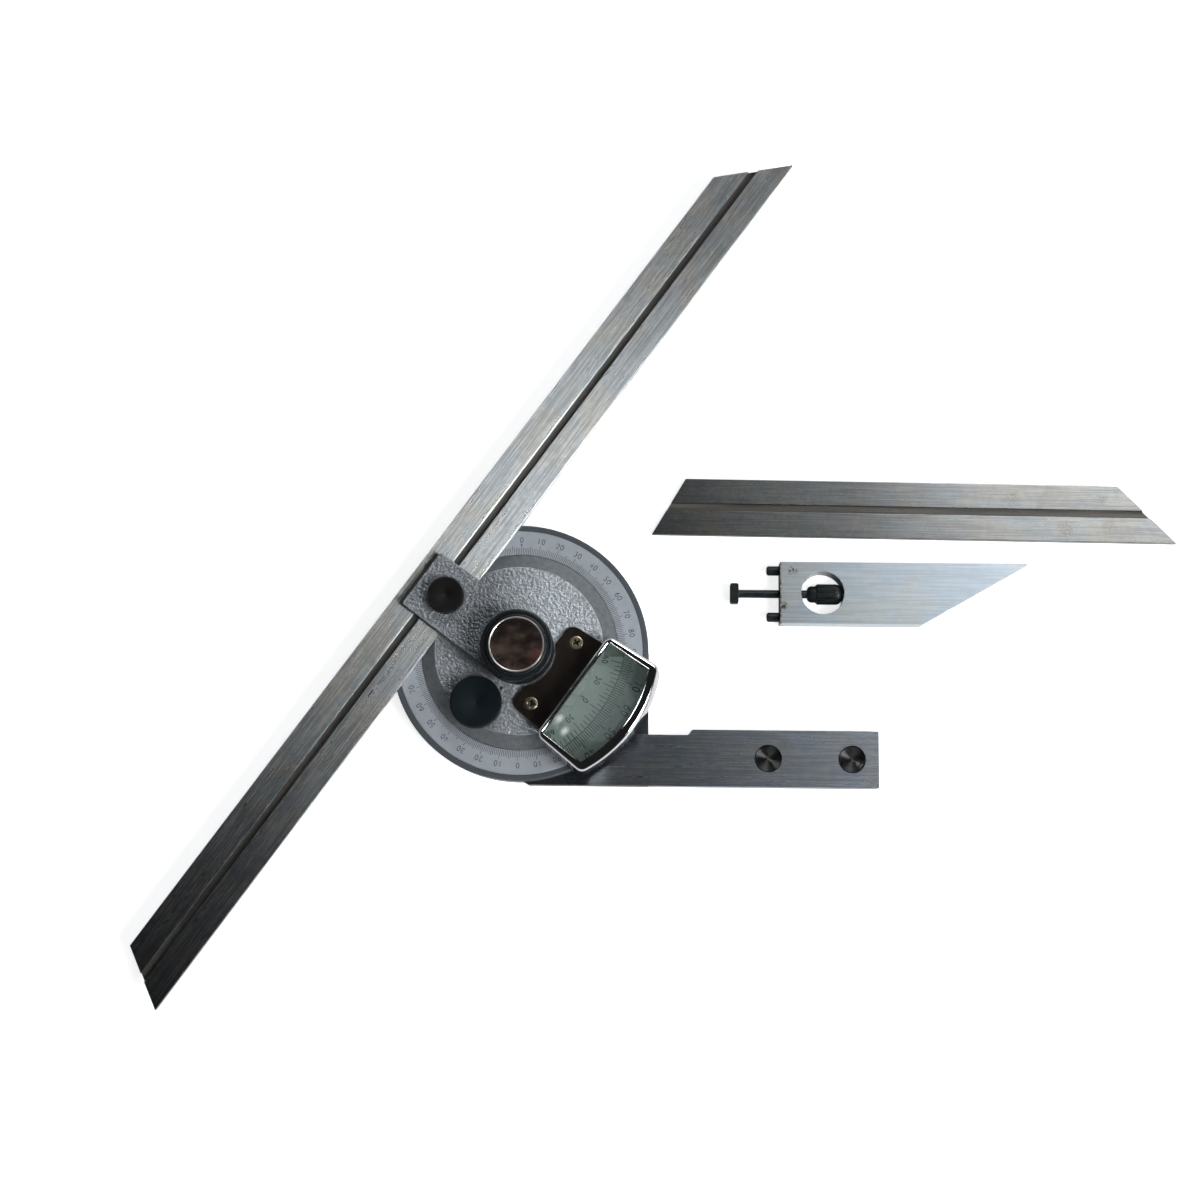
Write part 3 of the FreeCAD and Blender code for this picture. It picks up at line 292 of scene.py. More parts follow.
def make_world():
    """Pale surroundings, dark overhead where the photographer stood and low down on the left, and
    strips of light, seen by glossy surfaces only. The glass sees the windows, all else gets an
    even light."""
    world = bpy.data.worlds.new("studio")
    bpy.context.scene.world = world
    world.use_nodes = True
    world.node_tree.nodes.clear()
    sky = Nodes(world.node_tree)
    x, y, z = sky.split(sky.add("ShaderNodeTexCoord").outputs["Generated"])
    height = sky.maths("MAXIMUM", z, 0.02)
    slope_x, slope_y = sky.maths("DIVIDE", x, height), sky.maths("DIVIDE", y, height)
    c, s = math.cos(BLADE_ANGLE), math.sin(BLADE_ANGLE)
    along = sky.scaled(slope_x, c, sky.times(slope_y, s))
    across = sky.scaled(slope_x, s, sky.times(slope_y, -c))
    left = sky.times(sky.band(x, -2.0, -0.5, 0.25), sky.band(z, -2.0, 0.40, 0.15))
    room = sky.ramp(z, (0.0, 0.75), (0.28, 0.75), (0.55, 0.03), (1.0, 0.012))
    room = sky.times(room, sky.scaled(left, -0.6, 1.0))
    strips = []
    for (sides, ends, soft, bright), lengthwise, crosswise in (
            (BLADE_STRIP, along, across), (STOCK_STRIP, slope_x, slope_y)):
        strips.append(sky.times(sky.band(lengthwise, *sides, soft[0]),
                                sky.band(crosswise, *ends, soft[1]), bright))
    slopes = sky.combine(slope_x, slope_y)
    panes = 0.03
    for window_x, window_y, width in WINDOWS:
        away = sky.vectors("DISTANCE", slopes, (window_x, window_y, 0))
        pane = sky.step(away, width, 0.0, 0.0, WINDOW_GLOW, interpolation_type="SMOOTHSTEP")
        panes = sky.maths("ADD", panes, pane)
    rays = sky.add("ShaderNodeLightPath").outputs
    through = rays["Is Transmission Ray"]
    outside = sky.rest(through)
    plain = sky.background((0.92, 0.96, 1.0), sky.scaled(through, AMBIENT_BEHIND_GLASS, AMBIENT))
    glow = sky.background((0.96, 0.98, 1.0), sky.chain("ADD", *strips, room))
    seen = sky.mix(sky.times(rays["Is Glossy Ray"], outside), plain, glow)
    windows = sky.background((0.97, 0.99, 1.0), panes)
    seen = sky.mix(sky.times(rays["Is Singular Ray"], outside), seen, windows)
    seen = sky.mix(rays["Is Camera Ray"], seen, sky.background((1, 1, 1), 1.0))
    sky.add("ShaderNodeOutputWorld", {"Surface": seen})


def make_lamp(name, spot, side, watts, tint):
    """A square softbox that faces the object, left out of reflections and of the lens."""
    data = bpy.data.lights.new(name, "AREA")
    data.size = side
    data.energy = watts
    data.color = tint
    lamp = link_object(name, data)
    lamp.location = spot
    lamp.rotation_euler = (-Vector(spot)).to_track_quat("-Z", "Y").to_euler()
    lamp.visible_glossy = False
    lamp.visible_transmission = False


def make_floor():
    """White table top that keeps the shadows of the object faint."""
    bpy.ops.mesh.primitive_plane_add(size=6.0, location=(0, 0, -0.0001))
    floor = bpy.context.object
    floor.name = "table_top"
    material = bpy.data.materials.new("table_white")
    material.use_nodes = True
    material.node_tree.nodes.clear()
    table = Nodes(material.node_tree)
    matt = table.add("ShaderNodeBsdfDiffuse", {"Color": (0.82, 0.82, 0.82)}).outputs[0]
    to_camera = table.add("ShaderNodeLightPath").outputs["Is Camera Ray"]
    glow = table.add("ShaderNodeEmission", {
        "Color": (1, 1, 1), "Strength": table.times(to_camera, FLOOR_GLOW)}).outputs[0]
    both = table.add("ShaderNodeAddShader", {0: matt, 1: glow}).outputs[0]
    table.add("ShaderNodeOutputMaterial", {"Surface": both})
    floor.data.materials.append(material)


# Effects that several finishes share

def new_group(name, inputs, outputs):
    """Start a shader node group that reads a vector and named values, and puts out values."""
    group = bpy.data.node_groups.new(name, "ShaderNodeTree")
    group.interface.new_socket("Vector", in_out="INPUT", socket_type="NodeSocketVector")
    for label, value in inputs.items():
        socket = group.interface.new_socket(label, in_out="INPUT", socket_type="NodeSocketFloat")
        socket.default_value = value
    for label in outputs:
        group.interface.new_socket(label, in_out="OUTPUT", socket_type="NodeSocketFloat")
    nodes = Nodes(group)
    return nodes, nodes.add("NodeGroupInput").outputs, nodes.add("NodeGroupOutput").inputs


def make_grain_group():
    """Grinding lines along a piece, at two widths, with long soft streaks."""
    nodes, take, give = new_group("grinding_lines", {"Length": 14.0, "Width": 0.4}, ("Lines", "Streaks"))
    fine = nodes.stretched(take["Vector"], take["Length"], take["Width"])
    nodes.feed(give["Lines"], nodes.noise(fine, detail=1.0, roughness=0.6))
    wide = nodes.stretched(take["Vector"], nodes.times(take["Length"], 2.0), nodes.times(take["Width"], 4.0))
    nodes.feed(give["Streaks"], nodes.noise(wide))
    return nodes.tree


def make_scratch_group():
    """Thin scratches that lie every way, as masks from bent lines."""
    nodes, take, give = new_group("handling_scratches", {"Spacing": 9.0}, ("Mask",))
    bend = nodes.noise(take["Vector"], scale=0.025, detail=0.0)
    lines = []
    for slant in (0.5, 1.9, 2.7):
        turned = nodes.add("ShaderNodeVectorRotate", {"Vector": take["Vector"], "Angle": slant},
                           rotation_type="Z_AXIS").outputs[0]
        shifted = nodes.scaled(bend, 14.0, nodes.split(turned)["Y"])
        line = nodes.step(nodes.maths("PINGPONG", shifted, take["Spacing"]), 0.07, 0.0)
        seen = nodes.step(nodes.noise(turned, scale=0.11, detail=0.0), 0.55, 0.62)
        lines.append(nodes.times(line, seen))
    nodes.feed(give["Mask"], nodes.most(*lines))
    return nodes.tree


def make_turning_group():
    """Concentric tool marks about the piece's own axis."""
    nodes, take, give = new_group("turning_marks", {"Pitch": 0.25}, ("Height", "Radius"))
    x, y, _ = nodes.split(take["Vector"])
    radius = nodes.vectors("LENGTH", nodes.combine(x, y))
    wobble = nodes.noise(nodes.combine(radius), scale=9.0, detail=3.0)
    wave = nodes.maths("PINGPONG", radius, take["Pitch"])
    ridge = nodes.maths("DIVIDE", wave, take["Pitch"])
    nodes.feed(give["Height"], nodes.scaled(ridge, 0.4, wobble))
    nodes.feed(give["Radius"], radius)
    return nodes.tree


def make_stain_group():
    """Small patches where oil and fingers have left a mark."""
    nodes, take, give = new_group("finger_stains", {"Size": 8.0, "Amount": 0.5}, ("Mask",))
    scaled = nodes.vectors("DIVIDE", take["Vector"], take["Size"])
    cloud = nodes.noise(scaled, detail=4.0, roughness=0.65, distortion=0.8)
    over = nodes.maths("SUBTRACT", cloud, nodes.rest(take["Amount"]))
    nodes.feed(give["Mask"], nodes.step(over, 0.0, 0.2))
    return nodes.tree


GRAIN = make_grain_group()
SCRATCHES = make_scratch_group()
TURNING = make_turning_group()
STAINS = make_stain_group()


class Finish(Nodes):
    """A material with a Principled shader whose patterns read a piece's own millimetres."""

    def __init__(self, name, centre=(0, 0, 0), turn=0.0, **constants):
        self.material = bpy.data.materials.new(name)
        self.material.use_nodes = True
        super().__init__(self.material.node_tree)
        self.shader = self.tree.nodes["Principled BSDF"]
        for label, value in constants.items():
            self.set(label.replace("_", " "), value)
        place = self.add("ShaderNodeTexCoord").outputs["Object"]
        self.vector = self.add("ShaderNodeMapping", {
            "Vector": place, "Location": [value * MM for value in centre], "Rotation": (0, 0, turn),
            "Scale": (MM, MM, MM)}, vector_type="TEXTURE").outputs[0]

    def set(self, label, value):
        """Set a constant or link a socket of the Principled shader."""
        self.feed(self.shader.inputs[label], value)

    def source(self, label):
        """What a socket of the Principled shader is linked to."""
        return self.shader.inputs[label].links[0].from_socket

    def group(self, group, **inputs):
        """Place a shared effect on this piece."""
        return self.add("ShaderNodeGroup", {"Vector": self.vector, **inputs}, node_tree=group).outputs

    def bump(self, height, depth, strength=1.0):
        """Raise the surface by a height pattern, depth in millimetres."""
        self.set("Normal", self.add("ShaderNodeBump", {
            "Height": height, "Distance": depth * MM, "Strength": strength}).outputs[0])

    def brush(self, amount, x, y):
        """Spread the gloss in the direction x, y of the object, across its grinding lines or
        tool marks."""
        placed = self.add("ShaderNodeVectorTransform", {"Vector": self.combine(x, y)},
                          vector_type="VECTOR", convert_from="OBJECT", convert_to="WORLD")
        self.set("Tangent", placed.outputs[0])
        self.set("Anisotropic", amount)

    def parts(self):
        """X, Y and Z of the piece's own millimetres."""
        return self.split(self.vector)

    def flat(self):
        """The piece's own millimetres without their Z."""
        x, y, _ = self.parts()
        return self.combine(x, y)

    def radius(self):
        """Distance from the piece's own axis."""
        return self.vectors("LENGTH", self.flat())

    def cloud(self, scale, detail=2.0, **more):
        """Noise over the piece's own millimetres."""
        return self.noise(self.vector, scale, detail, **more)

    def patches(self):
        """Patches of less than a millimetre."""
        return self.step(self.cloud(1.6, 3.0), 0.42, 0.58)

    def spots(self, places):
        """Round spots, given as (x, y, radius), broken up into patches."""
        flat = self.flat()
        spots = [self.step(self.vectors("DISTANCE", flat, (x, y, 0)), size, size * 0.4)
                 for x, y, size in places]
        return self.times(self.most(*spots), self.patches())


def ground_steel(name, centre, turn, light, dark, foot=None, rough=(0.27, 0.31), stain_amount=0.45,
                 stain=(0.20, 0.17, 0.13), scratch=0.35, brushed=0.92, groove=None):
    """Steel ground lengthwise, with streaks, scratches and finger marks. foot darkens the colour by
    a shade below X near, fading out by far; groove gives two tones of painted shade on its groove's floor."""
    finish = Finish(name, centre, turn, Metallic=1.0)
    finish.brush(brushed, -math.sin(turn), math.cos(turn))
    grain = finish.group(GRAIN, Length=16.0, Width=0.34)
    tone = finish.scaled(grain["Streaks"], 0.25, finish.times(grain["Lines"], 0.55))
    tone = finish.scaled(finish.cloud(0.5, 4.0), 0.2, tone)
    colour = finish.ramp(tone, (0.44, dark), (0.56, light))
    hue = finish.ramp(finish.cloud(0.09, 3.0), (0.42, (0.93, 0.97, 1.0)), (0.60, (1.0, 0.985, 0.94)))
    colour = finish.shaded(colour, hue)
    if foot:
        near, far, shade = foot
        fade = finish.step(finish.parts()["X"], near, far)
        colour = finish.blend(fade, finish.shaded(colour, shade), colour)
    marks = finish.group(STAINS, Size=9.0, Amount=stain_amount)["Mask"]
    colour = finish.blend(finish.times(marks, 0.25), colour, stain)
    lines = finish.group(SCRATCHES, Spacing=8.0)["Mask"]
    bare = [min(1.0, value * 1.35) for value in light]
    colour = finish.blend(finish.times(lines, scratch), colour, bare)
    # Painted shade: the groove's floor gets a dark colour and no metal, standing in for the shade in the
    # groove.
    if groove:
        _, y, z = finish.parts()
        off_centre = finish.maths("ABSOLUTE", finish.maths("SUBTRACT", y, BLADE_WIDTH / 2))
        inside = finish.times(finish.step(off_centre, GROOVE_HALF, GROOVE_HALF - 0.05),
                              finish.step(z, GROOVE_FLOOR + 0.3, GROOVE_FLOOR + 0.1))
        floor = finish.ramp(grain["Streaks"], (0.35, groove[0]), (0.65, groove[1]))
        colour = finish.blend(inside, colour, floor)
        finish.set("Metallic", finish.rest(inside))
    finish.set("Base Color", colour)
    gloss = finish.step(tone, 0.38, 0.62, rough[1], rough[0])
    finish.set("Roughness", finish.scaled(marks, 0.04, gloss))
    finish.bump(grain["Lines"], 0.006, 0.6)
    return finish


def make_stock_finish():
    """Ground steel on the stock, dark paint on the disc, its rim and the neck."""
    finish = ground_steel("stock_steel", (0, 0, 0), 0.0, (0.48, 0.51, 0.56), (0.33, 0.35, 0.39),
                          stain_amount=0.40, stain=(0.17, 0.17, 0.17), scratch=0.6)
    x, _, z = finish.parts()
    outside = finish.step(finish.radius(), RIM_RADIUS - 0.05, RIM_RADIUS + 0.05)
    raised = finish.times(finish.step(z, PAD_TOP - 0.2, PAD_TOP - 0.1),
                          finish.step(x, PAD_START - 0.1, PAD_START))
    beyond = finish.step(x, RELIEF_START, RELIEF_START + 0.1)
    under = finish.step(z, 0.05, 0.0)
    steel = finish.most(finish.times(outside, finish.most(raised, beyond)), under)
    speck = finish.cloud(3.0, 3.0)
    rim = finish.ramp(speck, (0.3, (0.050, 0.058, 0.065)), (0.7, (0.085, 0.097, 0.107)))
    neck = finish.ramp(speck, (0.3, (0.010, 0.011, 0.013)), (0.7, (0.020, 0.022, 0.025)))
    paint = finish.blend(outside, rim, neck)
    finish.set("Base Color", finish.blend(steel, paint, finish.source("Base Color")))
    finish.set("Metallic", steel)
    finish.set("Roughness", finish.blend(steel, (0.38, 0.38, 0.38), finish.source("Roughness")))
    return finish.material


def make_blade_finish():
    """The long blade, with painted shade darkening it towards its foot."""
    c, s = math.cos(BLADE_ANGLE), math.sin(BLADE_ANGLE)
    along, across = BLADE_FOOT
    foot = (along * c - across * s, along * s + across * c, BLADE_LEVEL)
    return ground_steel("blade_steel", foot, BLADE_ANGLE, (0.74, 0.74, 0.73), (0.42, 0.43, 0.43),
                        # The foot's darkening is painted shade: the blade's reflection dims towards its
                        # foot.
                        foot=(-10, 75, (0.58, 0.58, 0.60)), scratch=0.25,
                        # The groove's tones are painted shade.
                        groove=((0.022, 0.022, 0.020), (0.045, 0.043, 0.038))).material


def make_short_blade_finish():
    """The short blade, darker and mottled on its left half, with brown patches further right."""
    finish = ground_steel("short_blade_steel", SHORT_BLADE_CORNER, SHORT_BLADE_TURN, (0.46, 0.46, 0.45),
                          (0.33, 0.33, 0.33), foot=(58, 90, (0.60, 0.60, 0.60)), stain_amount=0.47,
                          stain=(0.22, 0.20, 0.16), scratch=0.3,
                          # The groove's tones are painted shade.
                          groove=((0.060, 0.056, 0.050), (0.105, 0.100, 0.088)))
    outline = finish.band(finish.cloud(0.22, 3.0, distortion=1.2), 0.50, 0.52, 0.02)
    grit = finish.step(finish.cloud(1.1, 4.0, roughness=0.7), 0.55, 0.68)
    mottled = finish.most(finish.times(outline, 0.8), grit)
    mottled = finish.times(mottled, finish.step(finish.parts()["X"], 75.0, 45.0), 0.40)
    colour = finish.blend(mottled, finish.source("Base Color"), (0.10, 0.10, 0.095))
    brown = finish.spots(((118.6, 3.6, 3.4), (130.5, 4.6, 2.6), (103.6, 12.6, 3.0), (128.6, 12.2, 2.2)))
    finish.set("Base Color", finish.blend(finish.times(brown, 0.45), colour, (0.26, 0.21, 0.12)))
    return finish.material


def make_attachment_finish():
    """Bright ground steel of the attachment, browned at two spots and along its left edge."""
    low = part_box("attachment_plate")[0]
    finish = ground_steel("attachment_steel", (low[0] / MM, low[1] / MM, 0), 0.0, (0.68, 0.74, 0.79),
                          (0.57, 0.62, 0.66), rough=(0.32, 0.35), brushed=0.86, stain_amount=0.30,
                          stain=(0.35, 0.28, 0.16), scratch=0.15)
    edge = finish.times(finish.step(finish.parts()["X"], 0.5, 0.2), finish.patches())
    grime = finish.most(finish.spots(((3.6, 15.0, 1.7), (0.9, 5.0, 1.5))), edge)
    finish.set("Base Color", finish.blend(grime, finish.source("Base Color"), (0.16, 0.11, 0.045)))
    return finish.material


def make_hammer_finish():
    """Hammered grey paint on top, with painted shade darkening its left and a painted highlight
    along the edge of the raised face, and smooth darker paint on the bevel ring and below."""
    finish = Finish("hammered_paint", Metallic=0.55, Roughness=0.38)
    x, _, z = finish.parts()
    drift = finish.add("ShaderNodeTexNoise", {"Vector": finish.vector, "Scale": 1.2, "Detail": 1.0})
    warp = finish.vectors("ADD", finish.vector, drift.outputs["Color"])
    dimples = finish.add("ShaderNodeTexVoronoi", {
        "Vector": warp, "Scale": 1.25, "Smoothness": 0.7}, feature="SMOOTH_F1").outputs[0]
    rough_top = finish.scaled(finish.cloud(3.4), 0.45, dimples)
    top = finish.step(z, PLATEAU_TOP - 0.10, PLATEAU_TOP - 0.02)
    painted = finish.ramp(rough_top, (0.35, (0.52, 0.555, 0.59)), (0.95, (0.36, 0.385, 0.41)))
    bevel = finish.ramp(finish.cloud(0.7, 4.0), (0.3, (0.16, 0.175, 0.185)), (0.7, (0.22, 0.235, 0.25)))
    colour = finish.blend(top, bevel, painted)
    # Painted shade: darkest at X near -10, left of the centre knob, where its shadow falls on the arm and
    # raised face.
    shade = finish.ramp(finish.step(x, -24.0, 8.0), (0.0, 0.57), (0.45, 0.42), (1.0, 1.0))
    colour = finish.blend(top, colour, finish.shaded(colour, shade))
    # Painted highlight: a light line, broken into patches, along the edge of the raised face.
    edge_highlight = finish.times(finish.band(finish.radius(), PLATEAU_RADIUS - 0.12, PLATEAU_RADIUS + 0.12, 0.08),
                        finish.step(z, PLATEAU_TOP - 0.4, PLATEAU_TOP - 0.1),
                        finish.step(finish.cloud(0.12, 1.0), 0.42, 0.58), 0.7)
    finish.set("Base Color", finish.blend(edge_highlight, colour, (0.72, 0.75, 0.78)))
    finish.bump(finish.times(rough_top, top), 0.26)
    return finish.material


def make_scale_finish():
    """Satin chrome of the scale ring and the vernier plate."""
    finish = Finish("satin_scale", Metallic=0.35)
    marks = finish.group(TURNING, Pitch=0.08)
    cloud = finish.cloud(0.35, 4.0)
    tone = finish.scaled(marks["Height"], 0.25, finish.times(cloud, 0.75))
    finish.set("Base Color", finish.ramp(tone, (0.30, (0.32, 0.35, 0.385)), (0.75, (0.40, 0.43, 0.465))))
    finish.set("Roughness", finish.scaled(cloud, 0.15, 0.40))
    finish.bump(marks["Height"], 0.002, 0.5)
    return finish.material


def make_turned_finish(name, centre, light, dark, pitch, depth=0.012, metallic=0.0, brushed=0.0,
                       repeat=0.0):
    """Blackened steel with concentric tool marks about its own axis. repeat is the distance to a
    second axis along X."""
    finish = Finish(name, centre, Metallic=metallic, Specular_IOR_Level=0.2)
    if repeat:
        x, y, z = finish.parts()
        second = finish.maths("GREATER_THAN", x, repeat / 2)
        finish.vector = finish.combine(finish.scaled(second, -repeat, x), y, z)
    if brushed:
        x, y, _ = finish.parts()
        finish.brush(brushed, x, y)
    marks = finish.group(TURNING, Pitch=pitch)
    tone = finish.scaled(finish.cloud(0.5, 4.0), 0.5, finish.times(marks["Height"], 0.5))
    colour = finish.ramp(tone, (0.25, dark), (0.8, light))
    dot = finish.step(marks["Radius"], 0.35, 0.25)
    finish.set("Base Color", finish.blend(dot, colour, [value * 2.5 for value in light]))
    finish.set("Roughness", finish.scaled(tone, 0.15, 0.30))
    finish.bump(marks["Height"], depth, 0.7)
    return finish.material


def make_plain_finish(name, light, dark, metallic=1.0, rough=0.3, scale=0.8):
    """A finish with a soft cloud in its tone and its gloss."""
    finish = Finish(name, Metallic=metallic, Specular_IOR_Level=0.35)
    cloud = finish.cloud(scale, 5.0, roughness=0.6)
    finish.set("Base Color", finish.ramp(cloud, (0.3, dark), (0.7, light)))
    finish.set("Roughness", finish.scaled(cloud, 0.2, rough - 0.1))
    finish.bump(finish.cloud(scale * 8), 0.004, 0.5)
    return finish.material


def make_cap_finish():
    """Black chrome mirror with brown depths, a painted red reflection at one side, hair scratches and a bare
    edge.
    """
    finish = Finish("black_chrome")
    cloud = finish.noise(finish.stretched(finish.vector, 6.0, 4.0))
    colour = finish.ramp(cloud, (0.38, (0.016, 0.013, 0.012)), (0.50, (0.036, 0.026, 0.021)),
                         (0.66, (0.080, 0.056, 0.046)))
    x, y, _ = finish.parts()
    # Painted reflection: red on the side of the mirror cap towards +X and -Y.
    corner = finish.scaled(x, 0.8, finish.times(y, -0.6))
    glow = finish.times(finish.step(corner, 3.6, 7.4), finish.step(cloud, 0.35, 0.60), 0.7)
    colour = finish.blend(glow, colour, (0.105, 0.030, 0.028))
    hairs = finish.group(SCRATCHES, Spacing=2.2)["Mask"]
    colour = finish.blend(finish.times(hairs, 0.4), colour, (0.26, 0.23, 0.21))
    edge = finish.step(finish.radius(), 7.18, 7.24)
    finish.set("Base Color", finish.blend(edge, colour, (0.72, 0.68, 0.66)))
    finish.set("Metallic", finish.scaled(edge, 0.8, 0.2))
    finish.set("Roughness", finish.scaled(hairs, 0.25, finish.scaled(edge, 0.25, 0.10)))
    return finish.material


def make_chrome_finish():
    """Polished chrome with a breath of haze."""
    finish = Finish("polished_chrome", Metallic=1.0)
    haze = finish.cloud(0.3, 3.0)
    finish.set("Base Color", finish.ramp(haze, (0.3, (0.80, 0.80, 0.81)), (0.7, (0.87, 0.87, 0.88))))
    finish.set("Roughness", finish.scaled(haze, 0.06, 0.02))
    return finish.material


def make_lens_finish():
    """Clear glass with a green tinge that lets the lamps' light through to the scale."""
    finish = Finish("lens_glass", Metallic=0.0, Roughness=0.0, IOR=LENS_INDEX)
    finish.set("Base Color", (0.93, 1.0, 0.92))
    finish.set("Transmission Weight", 1.0)
    clear = finish.add("ShaderNodeBsdfTransparent", {"Color": (0.88, 0.93, 0.89)}).outputs[0]
    to_lamp = finish.add("ShaderNodeLightPath").outputs["Is Shadow Ray"]
    mixed = finish.mix(to_lamp, finish.shader.outputs[0], clear)
    finish.feed(finish.tree.nodes["Material Output"].inputs["Surface"], mixed)
    return finish.material


def make_screw_finish():
    """Yellow zinc on the heads of the bracket's screws, with painted shade, near black and not metallic, in
    their cross recesses.
    """
    finish = Finish("yellow_zinc", Metallic=1.0)
    cloud = finish.cloud(1.6, 5.0, roughness=0.6)
    colour = finish.ramp(cloud, (0.3, (0.42, 0.37, 0.24)), (0.7, (0.68, 0.62, 0.44)))
    # Painted shade: the cross recesses are made near black and not metallic.
    recess_shade = finish.step(finish.parts()["Z"], BRACKET_TOP - 0.12, BRACKET_TOP - 0.30)
    finish.set("Base Color", finish.blend(recess_shade, colour, (0.010, 0.009, 0.007)))
    finish.set("Metallic", finish.rest(recess_shade))
    finish.set("Roughness", finish.scaled(cloud, 0.2, 0.22))
    return finish.material


def make_ink_finish():
    """Dark filling of the engraved lines and numbers, worn thin in places."""
    finish = Finish("engraving_fill", Roughness=0.6)
    wear = finish.cloud(0.8, 3.0)
    finish.set("Base Color", finish.ramp(wear, (0.35, (0.020, 0.022, 0.025)), (0.8, (0.075, 0.080, 0.090))))
    return finish.material


# Meshes

def new_piece(name, body, mesh_or_points, faces, material, slot, smooth=30.0):
    """Make an object, in metres, that rides on a body, from a mesh, or from points in millimetres
    and faces. smooth 0 keeps the normals as they are."""
    if faces is None:
        mesh = mesh_or_points
        mesh.name = name
    else:
        mesh = bpy.data.meshes.new(name)
        mesh.from_pydata([[value * MM for value in point] for point in mesh_or_points], [], faces)
    if smooth:
        mesh.validate()
        build = bmesh.new()
        build.from_mesh(mesh)
        bmesh.ops.recalc_face_normals(build, faces=build.faces)
        build.to_mesh(mesh)
        build.free()
        mesh.polygons.foreach_set("use_smooth", [True] * len(mesh.polygons))
        mesh.set_sharp_from_angle(angle=math.radians(smooth))
    piece = link_object(name, mesh)
    mesh.materials.clear()
    mesh.materials.append(material)
    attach(piece, body)
    return piece


def finished_mesh(work):
    """The mesh that a work object ends up with. The work object is removed."""
    graph = bpy.context.evaluated_depsgraph_get()
    final = bpy.data.meshes.new_from_object(work.evaluated_get(graph))
    bpy.data.objects.remove(work)
    return final


def weld(piece):
    """Merge the points of a turned piece that fall on its axis."""
    distance = 0.0005 * MM
    build = bmesh.new()
    build.from_mesh(piece.data)
    bmesh.ops.remove_doubles(build, verts=build.verts, dist=distance)
    bmesh.ops.dissolve_degenerate(build, edges=build.edges, dist=distance * 0.1)
    bmesh.ops.recalc_face_normals(build, faces=build.faces)
    build.to_mesh(piece.data)
    build.free()


def stand_in(node, body, shape, material, slot, smooth, turned=True, name=None):
    """Make the piece that is seen in place of a CAD node, from its points and faces."""
    piece = new_piece(name or node + "_dressed", body, *shape, material, slot, smooth)
    if turned:
        weld(piece)
    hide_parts(node)


def softened(node, material, slot, body, width):
    """A copy of a CAD node with its edges broken, which stands in for the node."""
    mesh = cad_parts[node].data.copy()
    build = bmesh.new()
    build.from_mesh(mesh)
    bmesh.ops.remove_doubles(build, verts=build.verts, dist=0.002 * MM)
    bmesh.ops.dissolve_limit(build, angle_limit=math.radians(1.0), verts=build.verts,
                             edges=build.edges)
    build.to_mesh(mesh)
    build.free()
    mesh.polygons.foreach_set("use_smooth", [True] * len(mesh.polygons))
    work = link_object("work", mesh)
    bevel = work.modifiers.new("edge", "BEVEL")
    bevel.width = width * MM
    bevel.segments = 2
    bevel.limit_method = "ANGLE"
    bevel.angle_limit = math.radians(32)
    evened = work.modifiers.new("normals", "WEIGHTED_NORMAL")
    evened.mode = "FACE_AREA"
    evened.weight = 50
    stand_in(node, body, (finished_mesh(work), None), material, slot, 0.0, turned=False)


def lathe(profile, centre=(0, 0, 0), steps=96, flutes=None, axis="Z"):
    """Points and faces of a closed half section of (radius, height) turned about an axis.
    flutes is (count, depth, low, high): ridges cut along the axis between two heights."""
    points, faces = [], []
    closed = profile[0][0] > 0 and profile[-1][0] > 0
    for step in range(steps):
        angle = 2 * math.pi * step / steps
        for radius, height in profile:
            if flutes and flutes[2] <= height <= flutes[3]:
                wave = abs((step * flutes[0] / steps) % 1.0 - 0.5) * 2
                radius = radius - flutes[1] * wave
            x, y, z = radius * math.cos(angle), radius * math.sin(angle), height
            if axis == "X":
                x, y, z = z, x, y
            points.append((centre[0] + x, centre[1] + y, centre[2] + z))
    count = len(profile)
    last = count if closed else count - 1
    for step in range(steps):
        following = (step + 1) % steps
        for i in range(last):
            j = (i + 1) % count
            faces.append((step * count + i, step * count + j, following * count + j,
                          following * count + i))
    return points, faces


def wall_faces(first, second, count):
    """Faces between two closed rings of count points, each given by its first point's number."""
    faces = []
    for k in range(count):
        n = (k + 1) % count
        faces.append((first + k, first + n, second + n, second + k))
    return faces


def disc_faces(base, rings, count):
    """Faces of a disc: the point numbered base, then rings of count points round it."""
    faces = []
    for k in range(count):
        n = (k + 1) % count
        faces.append((base, base + 1 + k, base + 1 + n))
        for ring in range(rings - 1):
            a = base + 1 + ring * count
            b = a + count
            faces.append((a + k, b + k, b + n, a + n))
    return faces


# Engraved lines and numbers

